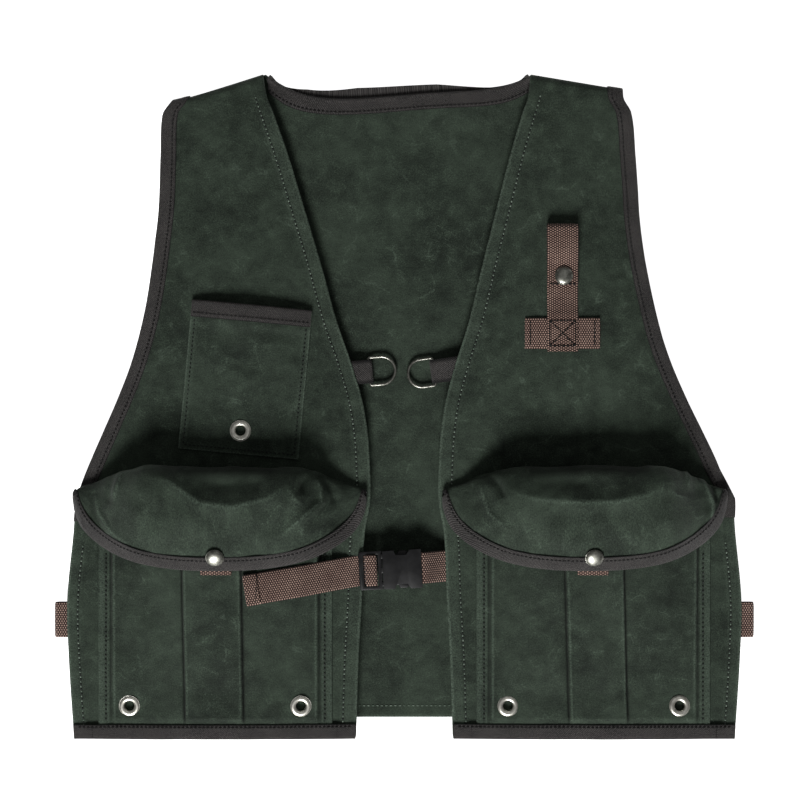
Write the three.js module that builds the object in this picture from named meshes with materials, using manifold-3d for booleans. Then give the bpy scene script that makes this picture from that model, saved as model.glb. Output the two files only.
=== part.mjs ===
// Utility work vest, lying on its back with the front up.
// Millimetres. +X is the wearer's left, +Y is towards the shoulders, +Z is up, out of the front.

import * as THREE from "three";
import { mergeVertices } from "three/addons/utils/BufferGeometryUtils.js";
import Module from "manifold-3d";

const wasm = await Module();
wasm.setup();

// Overall cut
const bodyLength = 547;
const halfWidth = 276.5;
const backHem = 16;
const backInset = 5;
const leanAtTop = 6.2;
const leanStart = 0.433;
const armholeBottom = 0.33;
const neckDrop = 17;

// Cloth, tape, webbing and the gap between pieces that touch
const clothThickness = 1.6;
const bagThickness = 1.4;
const tapeThickness = 0.8;
const webbingThickness = 1.5;
const seatGap = 0.3;
const tapeGap = 0.4;

// How the cloth lies
const backRise = 0.8;
const backEdgeLift = 1.4;
const frontRise = 11.2;
const frontBelly = 4;
const shoulderFold = 6;
const neckCurl = 0.4;

// Tapes
const armholeTapeWidth = 12;
const hemTapeWidth = 11.5;
const flapTapeWidth = 12;
const neckTapeInner = 12.4;
const neckTapeOuter = 7.5;

// Cargo pockets
const pocketCentre = 155.7;
const pocketFace = 169;
const pocketFlange = 11.5;
const pocketHeight = 175;
const gussetRise = 5;
const pocketBulge = 12.5;
const pleatWidth = 46;
const pleatOffset = 1.3;
const pleatRise = 2.2;
const pleatStep = 1.4;

// Flaps
const flapCentre = 153.5;
const flapWidth = 241;
const flapEndUp = 199;
const flapSeamArch = 14;
const flapDepth = 58;
const flapCrown = 40;
const flapWing = 7;
const flapLip = 25.2;
const flapLipEnd = 3.2;
const flapOverhang = 32;

// Eyelets and snaps
const eyeletOuter = 17.2;
const eyeletHole = 8;
const eyeletWall = 0.7;
const eyeletRim = 1.1;
const eyeletWasher = 14.4;
const eyeletUp = 26.8;
const eyeletSpan = 141;
const snapWidth = 15;
const snapHeight = 3.4;

// Webbing
const webbingWidth = 25.5;
const sideStrapWidth = 29;
const sideStrapUp = 97;
const sideStrapReach = 11.5;
const sideStrapTuck = 30;

// Tabs under the snaps
const snapTab = { foot: 136, length: 22 };

// Chest pocket
const chestPocket = { x: -131, y: 295, width: 98.5, height: 121.8, turn: -5.3, gape: 4.4, lift: 1.3 };
const chestTapeWidth = 13;
const chestEyeletUp = 19;

// Chest loop
const chestLoop = { x: 130, top: 423.4, foot: 318.3, end: 372.5, snapUp: 380.6, radius: 3.8 };
const chestBase = { y: 333.3, length: 61.5 };

// Rings on their tabs
const ringWire = 2.5;
const ringHeight = 25.5;
const ringDepth = 24;
const ringUp = 302;
const ringBearing = 0.4;
const tabWidth = 19.6;
const tabThickness = 1.2;
const tabTuck = 14;

// Buckle
const buckle = { x: -17.7, y: 138.5, turn: 3, width: 31.8, thickness: 10 };
const buckleBody = { length: 32, wall: 2.2, cavity: 23, notchFrom: 10.7, notchTo: 22, notchDepth: 4 };
const ladder = { outerBar: 4.2, slot: 3.5, innerBar: 4.8, base: 3.5, bar: 2.4, arm: 2.9 };
const strapTail = { length: 92, slope: -6, climb: 0.5 };
const strapBar = 2;

const SIDES = [
  { name: "right", sign: -1, shoulderDrop: 22, ringBar: 28.4, ringTurn: 5 },
  { name: "left", sign: 1, shoulderDrop: 12.5, ringBar: 25.2, ringTurn: 8 },
];

// Front panel outline: up is a share of bodyLength, centre and side are shares of halfWidth
const OUTLINE = [
  { up: 0.0, centre: 0.146, side: 0.984 },
  { up: 0.117, centre: 0.139, side: 0.999 },
  { up: 0.207, centre: 0.129, side: 1.004 },
  { up: 0.305, centre: 0.121, side: 0.986 },
  { up: 0.358, centre: 0.104, side: 0.976 },
  { up: 0.411, centre: 0.105, side: 0.942 },
  { up: 0.462, centre: 0.112, side: 0.897 },
  { up: 0.509, centre: 0.127, side: 0.854 },
  { up: 0.566, centre: 0.159, side: 0.809 },
  { up: 0.629, centre: 0.2, side: 0.773 },
  { up: 0.706, centre: 0.239, side: 0.741 },
  { up: 0.789, centre: 0.284, side: 0.716 },
  { up: 0.878, centre: 0.333, side: 0.707 },
  { up: 0.941, centre: 0.373, side: 0.699 },
  { up: 0.965, centre: 0.391, side: 0.672 },
  { up: 1.0, centre: 0.401, side: 0.672 },
];

// Pocket section up the bag: shares of the gusset's rise and of the bulge
const BAG_PROFILE = [
  { up: 0.0, gusset: 0.0, bulge: 0.0 },
  { up: 0.07, gusset: 0.0, bulge: 0.0 },
  { up: 0.095, gusset: 0.4, bulge: 0.0 },
  { up: 0.215, gusset: 0.4, bulge: 0.0 },
  { up: 0.36, gusset: 0.55, bulge: 0.3 },
  { up: 0.58, gusset: 0.75, bulge: 0.68 },
  { up: 0.8, gusset: 0.9, bulge: 1.0 },
  { up: 1.0, gusset: 1.0, bulge: 1.05 },
];

const COLOURS = {
  canvas: { color: 0x2b3a30, roughness: 0.85, metalness: 0 },
  tape: { color: 0x3b3535, roughness: 0.9, metalness: 0 },
  webbing: { color: 0x6b4f45, roughness: 0.95, metalness: 0 },
  nickel: { color: 0xc9c7c2, roughness: 0.25, metalness: 1 },
  plastic: { color: 0x141414, roughness: 0.45, metalness: 0 },
};

const smooth = (from, to, value) => THREE.MathUtils.smoothstep(value, from, to);
const lerp = THREE.MathUtils.lerp;
const radians = THREE.MathUtils.degToRad;

// Evenly spaced shares from first to last, both included
function steps(first, last, count) {
  return Array.from({ length: count + 1 }, (_, i) => lerp(first, last, i / count));
}

// A smooth curve through one column of a table whose rows rise in "up"
function column(table, name, up) {
  const last = table.length - 2;
  const found = table.findIndex((row, i) => i > 0 && up <= row.up) - 1;
  const i = found < 0 ? (up <= 0 ? 0 : last) : Math.min(found, last);
  const slope = (k) => {
    const below = table[Math.max(k - 1, 0)];
    const above = table[Math.min(k + 1, table.length - 1)];
    return (above[name] - below[name]) / (above.up - below.up);
  };
  const span = table[i + 1].up - table[i].up;
  const t = THREE.MathUtils.clamp((up - table[i].up) / span, 0, 1);
  const rise = table[i + 1][name] - table[i][name];
  const bendIn = slope(i) * span - rise;
  const bendOut = rise - slope(i + 1) * span;
  return table[i][name] + rise * t + t * (1 - t) * (bendIn * (1 - t) + bendOut * t);
}

// Straight stretches through one column of a table
function profile(table, name, up) {
  const i = Math.max(1, table.findIndex((row, k) => k > 0 && (up <= row.up || k === table.length - 1)));
  const low = table[i - 1];
  const high = table[i];
  return lerp(low[name], high[name], (up - low.up) / (high.up - low.up));
}

// A geometry from positions and triangles
function solid(positions, triangles) {
  const geometry = new THREE.BufferGeometry();
  const numbers = positions.flatMap((p) => p.toArray());
  geometry.setAttribute("position", new THREE.Float32BufferAttribute(numbers, 3));
  geometry.setIndex(triangles);
  geometry.computeVertexNormals();
  return geometry;
}

// The point, the two directions and the normal of a surface at (a, b)
function frameAt(surface, a, b) {
  const d = 1e-4;
  const point = surface(a, b);
  const alongA = surface(a + d, b).sub(surface(a - d, b)).normalize();
  const alongB = surface(a, b + d).sub(surface(a, b - d)).normalize();
  const normal = new THREE.Vector3().crossVectors(alongA, alongB).normalize();
  return { point, alongA, alongB, normal };
}

// A cloth sheet of even thickness over a grid of a surface
function sheet(surface, columns, rows, thickness) {
  const positions = [];
  for (const side of [0.5, -0.5]) {
    for (const b of rows) {
      for (const a of columns) {
        const { point, normal } = frameAt(surface, a, b);
        positions.push(point.addScaledVector(normal, side * thickness));
      }
    }
  }
  const nu = columns.length;
  const nv = rows.length;
  const lower = nu * nv;
  const triangles = [];
  const quad = (a, b, c, d) => triangles.push(a, b, c, a, c, d);
  for (let j = 0; j < nv - 1; j++) {
    for (let i = 0; i < nu - 1; i++) {
      const k = j * nu + i;
      quad(k, k + 1, k + 1 + nu, k + nu);
      quad(lower + k, lower + k + nu, lower + k + 1 + nu, lower + k + 1);
    }
  }
  for (let i = 0; i < nu - 1; i++) {
    const top = (nv - 1) * nu + i;
    quad(i, lower + i, lower + i + 1, i + 1);
    quad(top, top + 1, lower + top + 1, lower + top);
  }
  for (let j = 0; j < nv - 1; j++) {
    const left = j * nu;
    const right = left + nu - 1;
    quad(left, left + nu, lower + left + nu, lower + left);
    quad(right, lower + right, lower + right + nu, right + nu);
  }
  return solid(positions, triangles);
}

// A solid through rings of points; the section is flat, and closed unless it ends in caps
function loft(rings, section, closed = false) {
  const size = rings[0].length;
  const triangles = [];
  const count = closed ? rings.length : rings.length - 1;
  for (let j = 0; j < count; j++) {
    const here = j * size;
    const next = ((j + 1) % rings.length) * size;
    for (let i = 0; i < size; i++) {
      const k = (i + 1) % size;
      triangles.push(here + i, here + k, next + k, here + i, next + k, next + i);
    }
  }
  if (!closed) {
    const last = (rings.length - 1) * size;
    const clockwise = THREE.ShapeUtils.isClockWise(section);
    for (const [a, b, c] of THREE.ShapeUtils.triangulateShape(section, [])) {
      const [p, q] = clockwise ? [c, b] : [b, c];
      triangles.push(a, q, p, last + a, last + p, last + q);
    }
  }
  return outward(solid(rings.flat(), triangles));
}

// Turns a closed geometry's faces outwards
function outward(geometry) {
  const p = geometry.attributes.position;
  const index = geometry.index;
  const corner = (i) => new THREE.Vector3().fromBufferAttribute(p, index.getX(i));
  let volume = 0;
  for (let i = 0; i < index.count; i += 3) {
    volume += corner(i).dot(corner(i + 1).cross(corner(i + 2)));
  }
  if (volume < 0) {
    for (let i = 0; i < index.count; i += 3) {
      const b = index.getX(i + 1);
      index.setX(i + 1, index.getX(i + 2));
      index.setX(i + 2, b);
    }
    geometry.computeVertexNormals();
  }
  return geometry;
}

// A flat strap along centre points, with its width direction at each point
function strap(points, across, width, thickness) {
  const rings = points.map((point, i) => {
    const before = points[Math.max(i - 1, 0)];
    const after = points[Math.min(i + 1, points.length - 1)];
    const side = (Array.isArray(across) ? across[i] : across).clone().normalize();
    const tangent = after.clone().sub(before);
    const turn = i > 0 && i < points.length - 1 ? mitre(before, point, after) : 1;
    const up = new THREE.Vector3().crossVectors(tangent, side).normalize().multiplyScalar(turn);
    return [[-1, -1], [1, -1], [1, 1], [-1, 1]].map(([a, b]) =>
      point.clone().addScaledVector(side, (a * width) / 2).addScaledVector(up, (b * thickness) / 2));
  });
  const section = [[-1, -1], [1, -1], [1, 1], [-1, 1]].map(([a, b]) => new THREE.Vector2(a, b));
  return loft(rings, section);
}

// How much longer an offset is at a bend, so that the thickness stays even
function mitre(before, point, after) {
  const into = point.clone().sub(before);
  const out = after.clone().sub(point);
  return 1 / Math.max(Math.cos(into.angleTo(out) / 2), 0.5);
}

// Round wire along centre points that close on themselves
function wireLoop(points, width, facets) {
  const rings = points.map((point, i) => {
    const before = points[(i + points.length - 1) % points.length];
    const after = points[(i + 1) % points.length];
    const tangent = after.clone().sub(before).normalize();
    const up = new THREE.Vector3(0, 0, 1);
    const side = new THREE.Vector3().crossVectors(tangent, up).multiplyScalar(mitre(before, point, after));
    return steps(0, 2 * Math.PI, facets).slice(0, facets).map((angle) =>
      point.clone()
        .addScaledVector(side, (Math.cos(angle) * width) / 2)
        .addScaledVector(up, (Math.sin(angle) * width) / 2));
  });
  return loft(rings, [], true);
}

// Folded tape round a cloth edge. Each station runs from the tape's inner border to the edge.
function foldedTape(stations, over, under, overlap = 0) {
  const web = seatGap + tapeThickness;
  const rings = stations.map(({ points, normals, out }) => {
    const last = points.length - 1;
    const at = (k, height, reach = 0) =>
      points[k].clone().addScaledVector(normals[k], height).addScaledVector(out, reach);
    const keys = points.map((_, k) => k);
    const back = [...keys].reverse();
    return [
      ...keys.map((k) => at(k, over + tapeThickness)),
      at(last, over + tapeThickness, web),
      at(last, -under, web),
      ...(overlap > 0 ? [at(last, -under, web + overlap)] : []),
      at(last, -under - tapeThickness, web + overlap),
      ...back.map((k) => at(k, -under - tapeThickness)),
      ...keys.map((k) => at(k, -under)),
      at(last, -under, seatGap),
      at(last, over, seatGap),
      ...back.map((k) => at(k, over)),
    ];
  });
  const { points, normals, out } = stations[0];
  const centre = points[points.length - 1];
  const section = rings[0].map((p) => {
    const offset = p.clone().sub(centre);
    return new THREE.Vector2(offset.dot(out), offset.dot(normals[normals.length - 1]));
  });
  return loft(rings, section);
}

// The direction out of a surface, square to the edge that runs along a
function outwardAt(surface, a, b) {
  const { alongA, alongB } = frameAt(surface, a, b - 0.001);
  return alongB.addScaledVector(alongA, -alongB.dot(alongA)).normalize();
}

// One station of a folded tape on the surface's edge, with the tape's inner samples
function edgeStation(surface, inward, out) {
  const frames = inward.map(([a, b]) => frameAt(surface, a, b));
  return {
    points: frames.map((frame) => frame.point),
    normals: frames.map((frame) => frame.normal),
    out,
  };
}

// A ring or cap turned about its own axis
function turned(outlinePoints, facets) {
  const points = outlinePoints.map(([r, z]) => new THREE.Vector2(r, z));
  const geometry = new THREE.LatheGeometry(points, facets);
  geometry.rotateX(Math.PI / 2);
  return outward(weld(geometry));
}

function weld(geometry) {
  const copy = geometry.clone();
  copy.deleteAttribute("normal");
  copy.deleteAttribute("uv");
  return mergeVertices(copy, 1e-4);
}

function toManifold(geometry) {
  const welded = weld(geometry);
  const vertProperties = new Float32Array(welded.attributes.position.array);
  const triVerts = new Uint32Array(welded.index.array);
  return new wasm.Manifold(new wasm.Mesh({ numProp: 3, vertProperties, triVerts }));
}

function fromManifold(manifold) {
  const { vertProperties, triVerts } = manifold.getMesh();
  const geometry = new THREE.BufferGeometry();
  geometry.setAttribute("position", new THREE.Float32BufferAttribute(vertProperties, 3));
  geometry.setIndex(new THREE.Uint32BufferAttribute(triVerts, 1));
  geometry.computeVertexNormals();
  return geometry;
}

function cut(body, tools) {
  return fromManifold(tools.reduce((rest, tool) => rest.subtract(toManifold(tool)), toManifold(body)));
}

function join(bodies) {
  const [first, ...others] = bodies.map(toManifold);
  return fromManifold(others.reduce((whole, other) => whole.add(other), first));
}

// A box from its lowest to its highest corner
function block(low, high) {
  const size = high.map((value, i) => value - low[i]);
  const geometry = new THREE.BoxGeometry(...size);
  geometry.translate(...high.map((value, i) => (value + low[i]) / 2));
  return geometry;
}

const vest = new THREE.Group();

function add(name, finish, geometry, place = new THREE.Matrix4()) {
  const mesh = new THREE.Mesh(geometry, new THREE.MeshStandardMaterial(COLOURS[finish]));
  mesh.name = name;
  mesh.applyMatrix4(place);
  vest.add(mesh);
}

// The vest leans a little to one side towards the shoulders
function leanAt(up) {
  return -leanAtTop * Math.max(0, (up - leanStart) / (1 - leanStart)) ** 1.5;
}

const centreAt = (up) => halfWidth * column(OUTLINE, "centre", up);
const sideAt = (up) => halfWidth * column(OUTLINE, "side", up);
const seamRise = (backRise + frontRise) / 2;

// Height of a front panel's middle surface at a point of the plan
function frontHeight(side, x, y) {
  const up = y / bodyLength;
  const share = (side.sign * (x - leanAt(up)) - centreAt(up)) / (sideAt(up) - centreAt(up));
  const inside = THREE.MathUtils.clamp(share, -0.05, 1.05);
  return frontRise + frontBelly * Math.sin(Math.PI * inside) * (1 - smooth(0.68, 0.88, up));
}

// Rows up a panel, close together round the shoulder fold
const foldFrom = 0.96;
const foldRows = steps(foldFrom, 1, 3).slice(1);
const panelRows = [...steps(0, foldFrom, 16), ...foldRows];

// Height and turn of the cloth at a share of the way up, where its top edge lies at "top"
function shoulderCurl(share, foot, top, turnAtTop) {
  if (share <= foldFrom) {
    return { y: lerp(foot, top - shoulderFold, share / foldFrom), turn: 0 };
  }
  const angle = (turnAtTop * (share - foldFrom)) / (1 - foldFrom);
  const reach = shoulderFold * Math.sin(angle) / Math.sin(turnAtTop);
  return { y: top - shoulderFold + reach, turn: 1 - Math.cos(angle) };
}

// Front panel surface: a runs from the centre edge to the side edge, b from the hem to the shoulder
function frontSurface(side) {
  return (a, b) => {
    const top = bodyLength - side.shoulderDrop * a;
    const { y, turn } = shoulderCurl(b, 0, top, Math.PI / 2);
    const up = y / bodyLength;
    const x = side.sign * lerp(centreAt(up), sideAt(up), a) + leanAt(up);
    const flat = frontHeight(side, x, y);
    return new THREE.Vector3(x, y, lerp(flat, seamRise + seatGap / 2, turn));
  };
}

const neckShare = 0.401 / 0.672;
const neckHalf = [0.1, 0.3, 0.5, 0.68, 0.82, 0.93];
const neckColumns = [...neckHalf.map((a) => -a).reverse(), ...neckHalf].map((a) => a * neckShare);

// Back panel surface: a runs from the right side (-1) to the left side (1), b from the hem up
function backSurface(a, b) {
  const side = a < 0 ? SIDES[0] : SIDES[1];
  const out = Math.abs(a);
  const alongNeck = Math.min(out / neckShare, 1);
  const alongShoulder = Math.max(out - neckShare, 0) / (1 - neckShare);
  const top = bodyLength - side.shoulderDrop * alongShoulder - neckDrop * (1 - alongNeck ** 5);
  const turnAtTop = lerp(neckCurl, Math.PI / 2, smooth(0.9, 1, alongNeck));
  const { y, turn } = shoulderCurl(b, backHem, top, turnAtTop);
  const up = y / bodyLength;
  const inset = backInset * (1 - smooth(armholeBottom, armholeBottom + 0.15, up));
  const x = a * (sideAt(up) - inset) + leanAt(up);
  const lift = Math.max(smooth(0.8, 0.97, out), smooth(0.9, foldFrom, b));
  const flat = backRise + backEdgeLift * lift;
  return new THREE.Vector3(x, y, lerp(flat, seamRise - seatGap / 2, turn));
}

function addPanels() {
  for (const side of SIDES) {
    const columns = side.sign > 0 ? steps(0, 1, 7) : steps(1, 0, 7);
    const cloth = sheet(frontSurface(side), columns, panelRows, clothThickness);
    add(`front_panel_${side.name}`, "canvas", outward(cloth));
  }
  const shoulder = steps(neckShare, 1, 3);
  const columns = [...shoulder.map((a) => -a).reverse(), ...neckColumns, ...shoulder];
  add("back_panel", "canvas", outward(sheet(backSurface, columns, panelRows, clothThickness)));
}

// The tape round each armhole runs up the front, over the shoulder and down the back
function addArmholeBindings() {
  const over = clothThickness / 2 + tapeGap;
  for (const side of SIDES) {
    const out = new THREE.Vector3(side.sign, 0, 0);
    const front = frontSurface(side);
    const rows = panelRows.filter((b) => b >= armholeBottom);
    const station = (surface, edge, width, b, flip) => {
      const inner = edge - (Math.sign(edge) * armholeTapeWidth) / width;
      const result = edgeStation(surface, [[inner, b], [edge, b]], out);
      result.normals.forEach((normal) => normal.multiplyScalar(flip));
      const tangent = frameAt(surface, edge, b).alongB;
      result.out = out.clone().addScaledVector(tangent, -out.dot(tangent)).normalize();
      return result;
    };
    const frontStations = rows.map((b) => {
      const up = front(1, b).y / bodyLength;
      return station(front, 1, sideAt(up) - centreAt(up), b, side.sign);
    });
    const backStations = [...rows].reverse().map((b) => {
      const up = backSurface(side.sign, b).y / bodyLength;
      return station(backSurface, side.sign, sideAt(up), b, -1);
    });
    const stations = [...frontStations, ...backStations];
    add(`armhole_binding_${side.name}`, "tape", foldedTape(stations, over, over));
  }
}

function addNeckBinding() {
  const over = clothThickness / 2 + tapeGap;
  const stations = neckColumns.map((a) => {
    const length = backSurface(a, foldFrom).y - backHem;
    const inner = foldFrom * (1 - (neckTapeInner - shoulderFold) / length);
    const result = edgeStation(backSurface, [[a, inner], [a, foldFrom], [a, 1]]);
    result.out = outwardAt(backSurface, a, 1);
    return result;
  });
  add("neck_binding", "tape", foldedTape(stations, over, over, neckTapeOuter));
}

// The tape along each front hem also holds the bottom of the cargo pocket
function addHemBindings() {
  const under = clothThickness / 2 + tapeGap;
  const over = under + bagThickness + seatGap;
  for (const side of SIDES) {
    const surface = frontSurface(side);
    const inner = (hemTapeWidth / bodyLength) * foldFrom;
    const stations = steps(0, 1, 16).map((a) => {
      const result = edgeStation(surface, [[a, inner], [a, 0]], new THREE.Vector3(0, -1, 0));
      result.normals.forEach((normal) => normal.multiplyScalar(side.sign));
      return result;
    });
    add(`hem_binding_${side.name}`, "tape", foldedTape(stations, over, under));
  }
}

// Height of a cargo pocket's middle surface, at a place across it from its centre outwards
function bagHeight(side, across, y) {
  const x = side.sign * (pocketCentre + across);
  const base = frontHeight(side, x, y) + (clothThickness + bagThickness) / 2 + seatGap;
  const up = y / pocketHeight;
  const half = pocketFace / 2;
  const onFace = 1 - smooth(half - pleatStep, half + pleatStep, Math.abs(across));
  const bulge = Math.max(0, Math.cos((Math.PI / 2) * Math.min(1, Math.abs(across) / half)));
  const fromPleat = Math.abs(across - pleatOffset);
  const onPleat = 1 - smooth((pleatWidth - pleatStep) / 2, (pleatWidth + pleatStep) / 2, fromPleat);
  const raised = smooth(0, 0.4, profile(BAG_PROFILE, "gusset", up));
  return base
    + onFace * gussetRise * profile(BAG_PROFILE, "gusset", up)
    + bulge * pocketBulge * profile(BAG_PROFILE, "bulge", up)
    + onPleat * pleatRise * raised;
}

function bagSurface(side) {
  return (across, y) => new THREE.Vector3(side.sign * (pocketCentre + across), y, bagHeight(side, across, y));
}

// The place of a piece that sits square on a surface
function seatedOn(surface, a, b, flip) {
  const { point, alongA, normal } = frameAt(surface, a, b);
  normal.multiplyScalar(flip);
  const alongB = new THREE.Vector3().crossVectors(normal, alongA);
  return new THREE.Matrix4().makeBasis(alongA, alongB, normal).setPosition(point);
}

function eyeletShape(cloth) {
  const inner = eyeletHole / 2;
  const top = cloth / 2 + seatGap;
  const outline = [
    [inner, -top - eyeletWall],
    [eyeletWasher / 2, -top - eyeletWall],
    [eyeletWasher / 2, -top],
    [inner + eyeletWall, -top],
    [inner + eyeletWall, top],
    [eyeletOuter / 2, top],
    [eyeletOuter / 2 - 0.8, top + eyeletRim * 0.8],
    [inner + 1.4, top + eyeletRim],
    [inner, top + eyeletRim * 0.4],
    [inner, -top - eyeletWall],
  ];
  return turned(outline, 12);
}

// The punched hole that an eyelet's barrel goes through
function eyeletCutter(place) {
  const radius = eyeletHole / 2 + eyeletWall + seatGap;
  const geometry = new THREE.CylinderGeometry(radius, radius, 12, 12);
  geometry.rotateX(Math.PI / 2);
  return geometry.applyMatrix4(place);
}

function addCargoPockets() {
  const half = pocketFace / 2;
  const pleat = pleatWidth / 2;
  const edges = [half + pocketFlange, half + pleatStep, half - pleatStep, half - 14, half - 32];
  const step = pleatStep / 2;
  const middle = [pleat + step, pleat - step, 0, -pleat + step, -pleat - step];
  const across = [
    ...edges,
    ...middle.map((value) => value + pleatOffset),
    ...edges.map((value) => -value).reverse(),
  ];
  const rows = BAG_PROFILE.map((row) => row.up * pocketHeight);
  rows[0] = seatGap;
  for (const side of SIDES) {
    const columns = side.sign > 0 ? [...across].reverse() : across;
    const surface = bagSurface(side);
    const body = outward(sheet(surface, columns, rows, bagThickness));
    const places = [1, -1].map((end) => seatedOn(surface, (end * eyeletSpan) / 2, eyeletUp, side.sign));
    add(`pocket_bag_${side.name}`, "canvas", cut(body, places.map(eyeletCutter)));
    add(`pocket_eyelet_${side.name}_outer`, "nickel", eyeletShape(bagThickness), places[0]);
    add(`pocket_eyelet_${side.name}_inner`, "nickel", eyeletShape(bagThickness), places[1]);
  }
}

function bezier(t, points) {
  const [p0, p1, p2, p3] = points;
  const s = 1 - t;
  return s * s * s * p0 + 3 * s * s * t * p1 + 3 * s * t * t * p2 + t * t * t * p3;
}

// Flap surface: a runs outwards across it from -1 to 1, b from the seam on the panel to the lip.
// The tape takes up the last stretch of b, from flapTapeFrom to 1.
const flapTapeFrom = 0.8;
const flapEndShare = 0.975;

function flapSurface(side) {
  return (a, b) => {
    const x = side.sign * (flapCentre + (a * flapWidth) / 2);
    const out = Math.abs(a);
    const round = Math.sqrt(Math.max(0, 1 - out ** 2.4));
    const seamY = flapEndUp + 2 + flapSeamArch * round;
    const lipY = flapEndUp - 6 - (flapDepth - 6) * round;
    const dome = 1 - smooth(0.5, 0.93, out);
    const crown = lerp(flapWing, flapCrown, dome);
    const lip = lerp(flapLipEnd, flapLip, 1 - smooth(0.5, 1, out));
    const overTape = (tapeThickness + tapeGap) * smooth(0.7, 0.85, a);
    const base = frontHeight(side, x, (seamY + lipY) / 2) + clothThickness / 2 + overTape;
    const foot = base + clothThickness / 2 + seatGap;
    const depth = seamY - lipY;
    const overhang = flapOverhang * lerp(0.15, 1, dome);
    const ys = [seamY, seamY + overhang, seamY - 0.25 * depth, lipY];
    const zs = [foot, foot + 0.9 * crown, base + 1.35 * crown, base + clothThickness / 2 + lip];
    const tapeShare = flapTapeWidth / (3 * Math.hypot(ys[3] - ys[2], zs[3] - zs[2]));
    const inner = 1 - Math.min(tapeShare, 0.5);
    const t = b < flapTapeFrom
      ? (inner * b) / flapTapeFrom
      : lerp(inner, 1, (b - flapTapeFrom) / (1 - flapTapeFrom));
    return new THREE.Vector3(x, bezier(t, ys), bezier(t, zs));
  };
}

const flapColumns = steps(-1, 1, 16).map((a) => Math.sign(a) * Math.abs(a) ** 0.8 * flapEndShare);

function addFlaps() {
  const over = clothThickness / 2 + tapeGap;
  const tapeRows = [flapTapeFrom, (1 + flapTapeFrom) / 2, 1];
  const rows = [...steps(0, flapTapeFrom, 7), ...tapeRows.slice(1)];
  for (const side of SIDES) {
    const surface = flapSurface(side);
    const columns = side.sign > 0 ? flapColumns : [...flapColumns].reverse();
    add(`pocket_flap_${side.name}`, "canvas", outward(sheet(surface, columns, rows, clothThickness)));
    const stations = columns.map((a) => {
      const result = edgeStation(surface, tapeRows.map((b) => [a, b]));
      result.out = outwardAt(surface, a, 1);
      result.normals.forEach((normal) => normal.multiplyScalar(-side.sign));
      return result;
    });
    add(`flap_binding_${side.name}`, "tape", foldedTape(stations, over, over));
  }
}

// A snap cap: a low dome with a rolled rim
function snapShape() {
  const r = snapWidth / 2;
  const foot = [[0, 0], [r - 0.6, 0], [r, 0.6], [r - 0.3, 1.3]];
  return turned([...foot, [r * 0.75, snapHeight * 0.8], [0, snapHeight]], 16);
}

// The snap on each flap's tape and the webbing tab below it, on the pocket
function addFlapSnaps() {
  for (const side of SIDES) {
    const surface = flapSurface(side);
    const place = seatedOn(surface, 0, flapTapeFrom, -side.sign);
    const stand = clothThickness / 2 + tapeGap + tapeThickness + seatGap;
    place.multiply(new THREE.Matrix4().makeTranslation(0, 0, stand));
    add(`flap_snap_${side.name}`, "nickel", snapShape(), place);

    const across = flapCentre - pocketCentre;
    const x = side.sign * flapCentre;
    const seat = bagThickness / 2 + seatGap + webbingThickness / 2;
    const points = steps(snapTab.foot, snapTab.foot + snapTab.length, 3).map((y) =>
      new THREE.Vector3(x, y, bagHeight(side, across, y) + seat));
    const tab = strap(points, new THREE.Vector3(1, 0, 0), webbingWidth, webbingThickness);
    add(`snap_tab_${side.name}`, "webbing", tab);
  }
}

// Chest pocket: the patch is turned a little, stitched down on three sides and open at the top
function chestPoint(along, up, height) {
  const turn = radians(chestPocket.turn);
  const x = chestPocket.x + along * Math.cos(turn) - up * Math.sin(turn);
  const y = chestPocket.y + along * Math.sin(turn) + up * Math.cos(turn);
  const seat = (clothThickness + bagThickness) / 2 + seatGap;
  return new THREE.Vector3(x, y, frontHeight(SIDES[0], x, y) + seat + height);
}

function chestSurface(a, b) {
  const halfAcross = chestPocket.width / 2;
  const along = a * halfAcross;
  const up = (b - 0.5) * chestPocket.height;
  const offEdge = smooth(0, 7, halfAcross - Math.abs(along)) * smooth(0, 7, b * chestPocket.height);
  const open = smooth(0.35, 1, b) * Math.cos((Math.PI / 2) * a);
  const tapeFrom = 1 - chestTapeWidth / chestPocket.height;
  const overTape = (tapeThickness + tapeGap) * smooth(tapeFrom - 0.08, tapeFrom - 0.01, b);
  return chestPoint(along, up, overTape + offEdge * (chestPocket.lift + chestPocket.gape * open));
}

function addChestPocket() {
  const columns = [-1, -0.93, -0.86, -0.6, -0.3, 0, 0.3, 0.6, 0.86, 0.93, 1];
  const tapeFrom = 1 - chestTapeWidth / chestPocket.height;
  const rows = [0, 0.03, 0.06, 0.2, 0.35, 0.5, 0.65, 0.8, tapeFrom, 1];
  const body = sheet(chestSurface, columns, rows, bagThickness);
  const place = seatedOn(chestSurface, 0, chestEyeletUp / chestPocket.height, 1);
  add("chest_pocket", "canvas", cut(outward(body), [eyeletCutter(place)]));
  add("chest_pocket_eyelet", "nickel", eyeletShape(bagThickness), place);
  const stations = columns.map((a) => {
    const result = edgeStation(chestSurface, [[a, tapeFrom], [a, 1]]);
    result.out = outwardAt(chestSurface, a, 1);
    return result;
  });
  const reach = bagThickness / 2 + tapeGap;
  add("chest_pocket_binding", "tape", foldedTape(stations, reach, reach));
}

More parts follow.
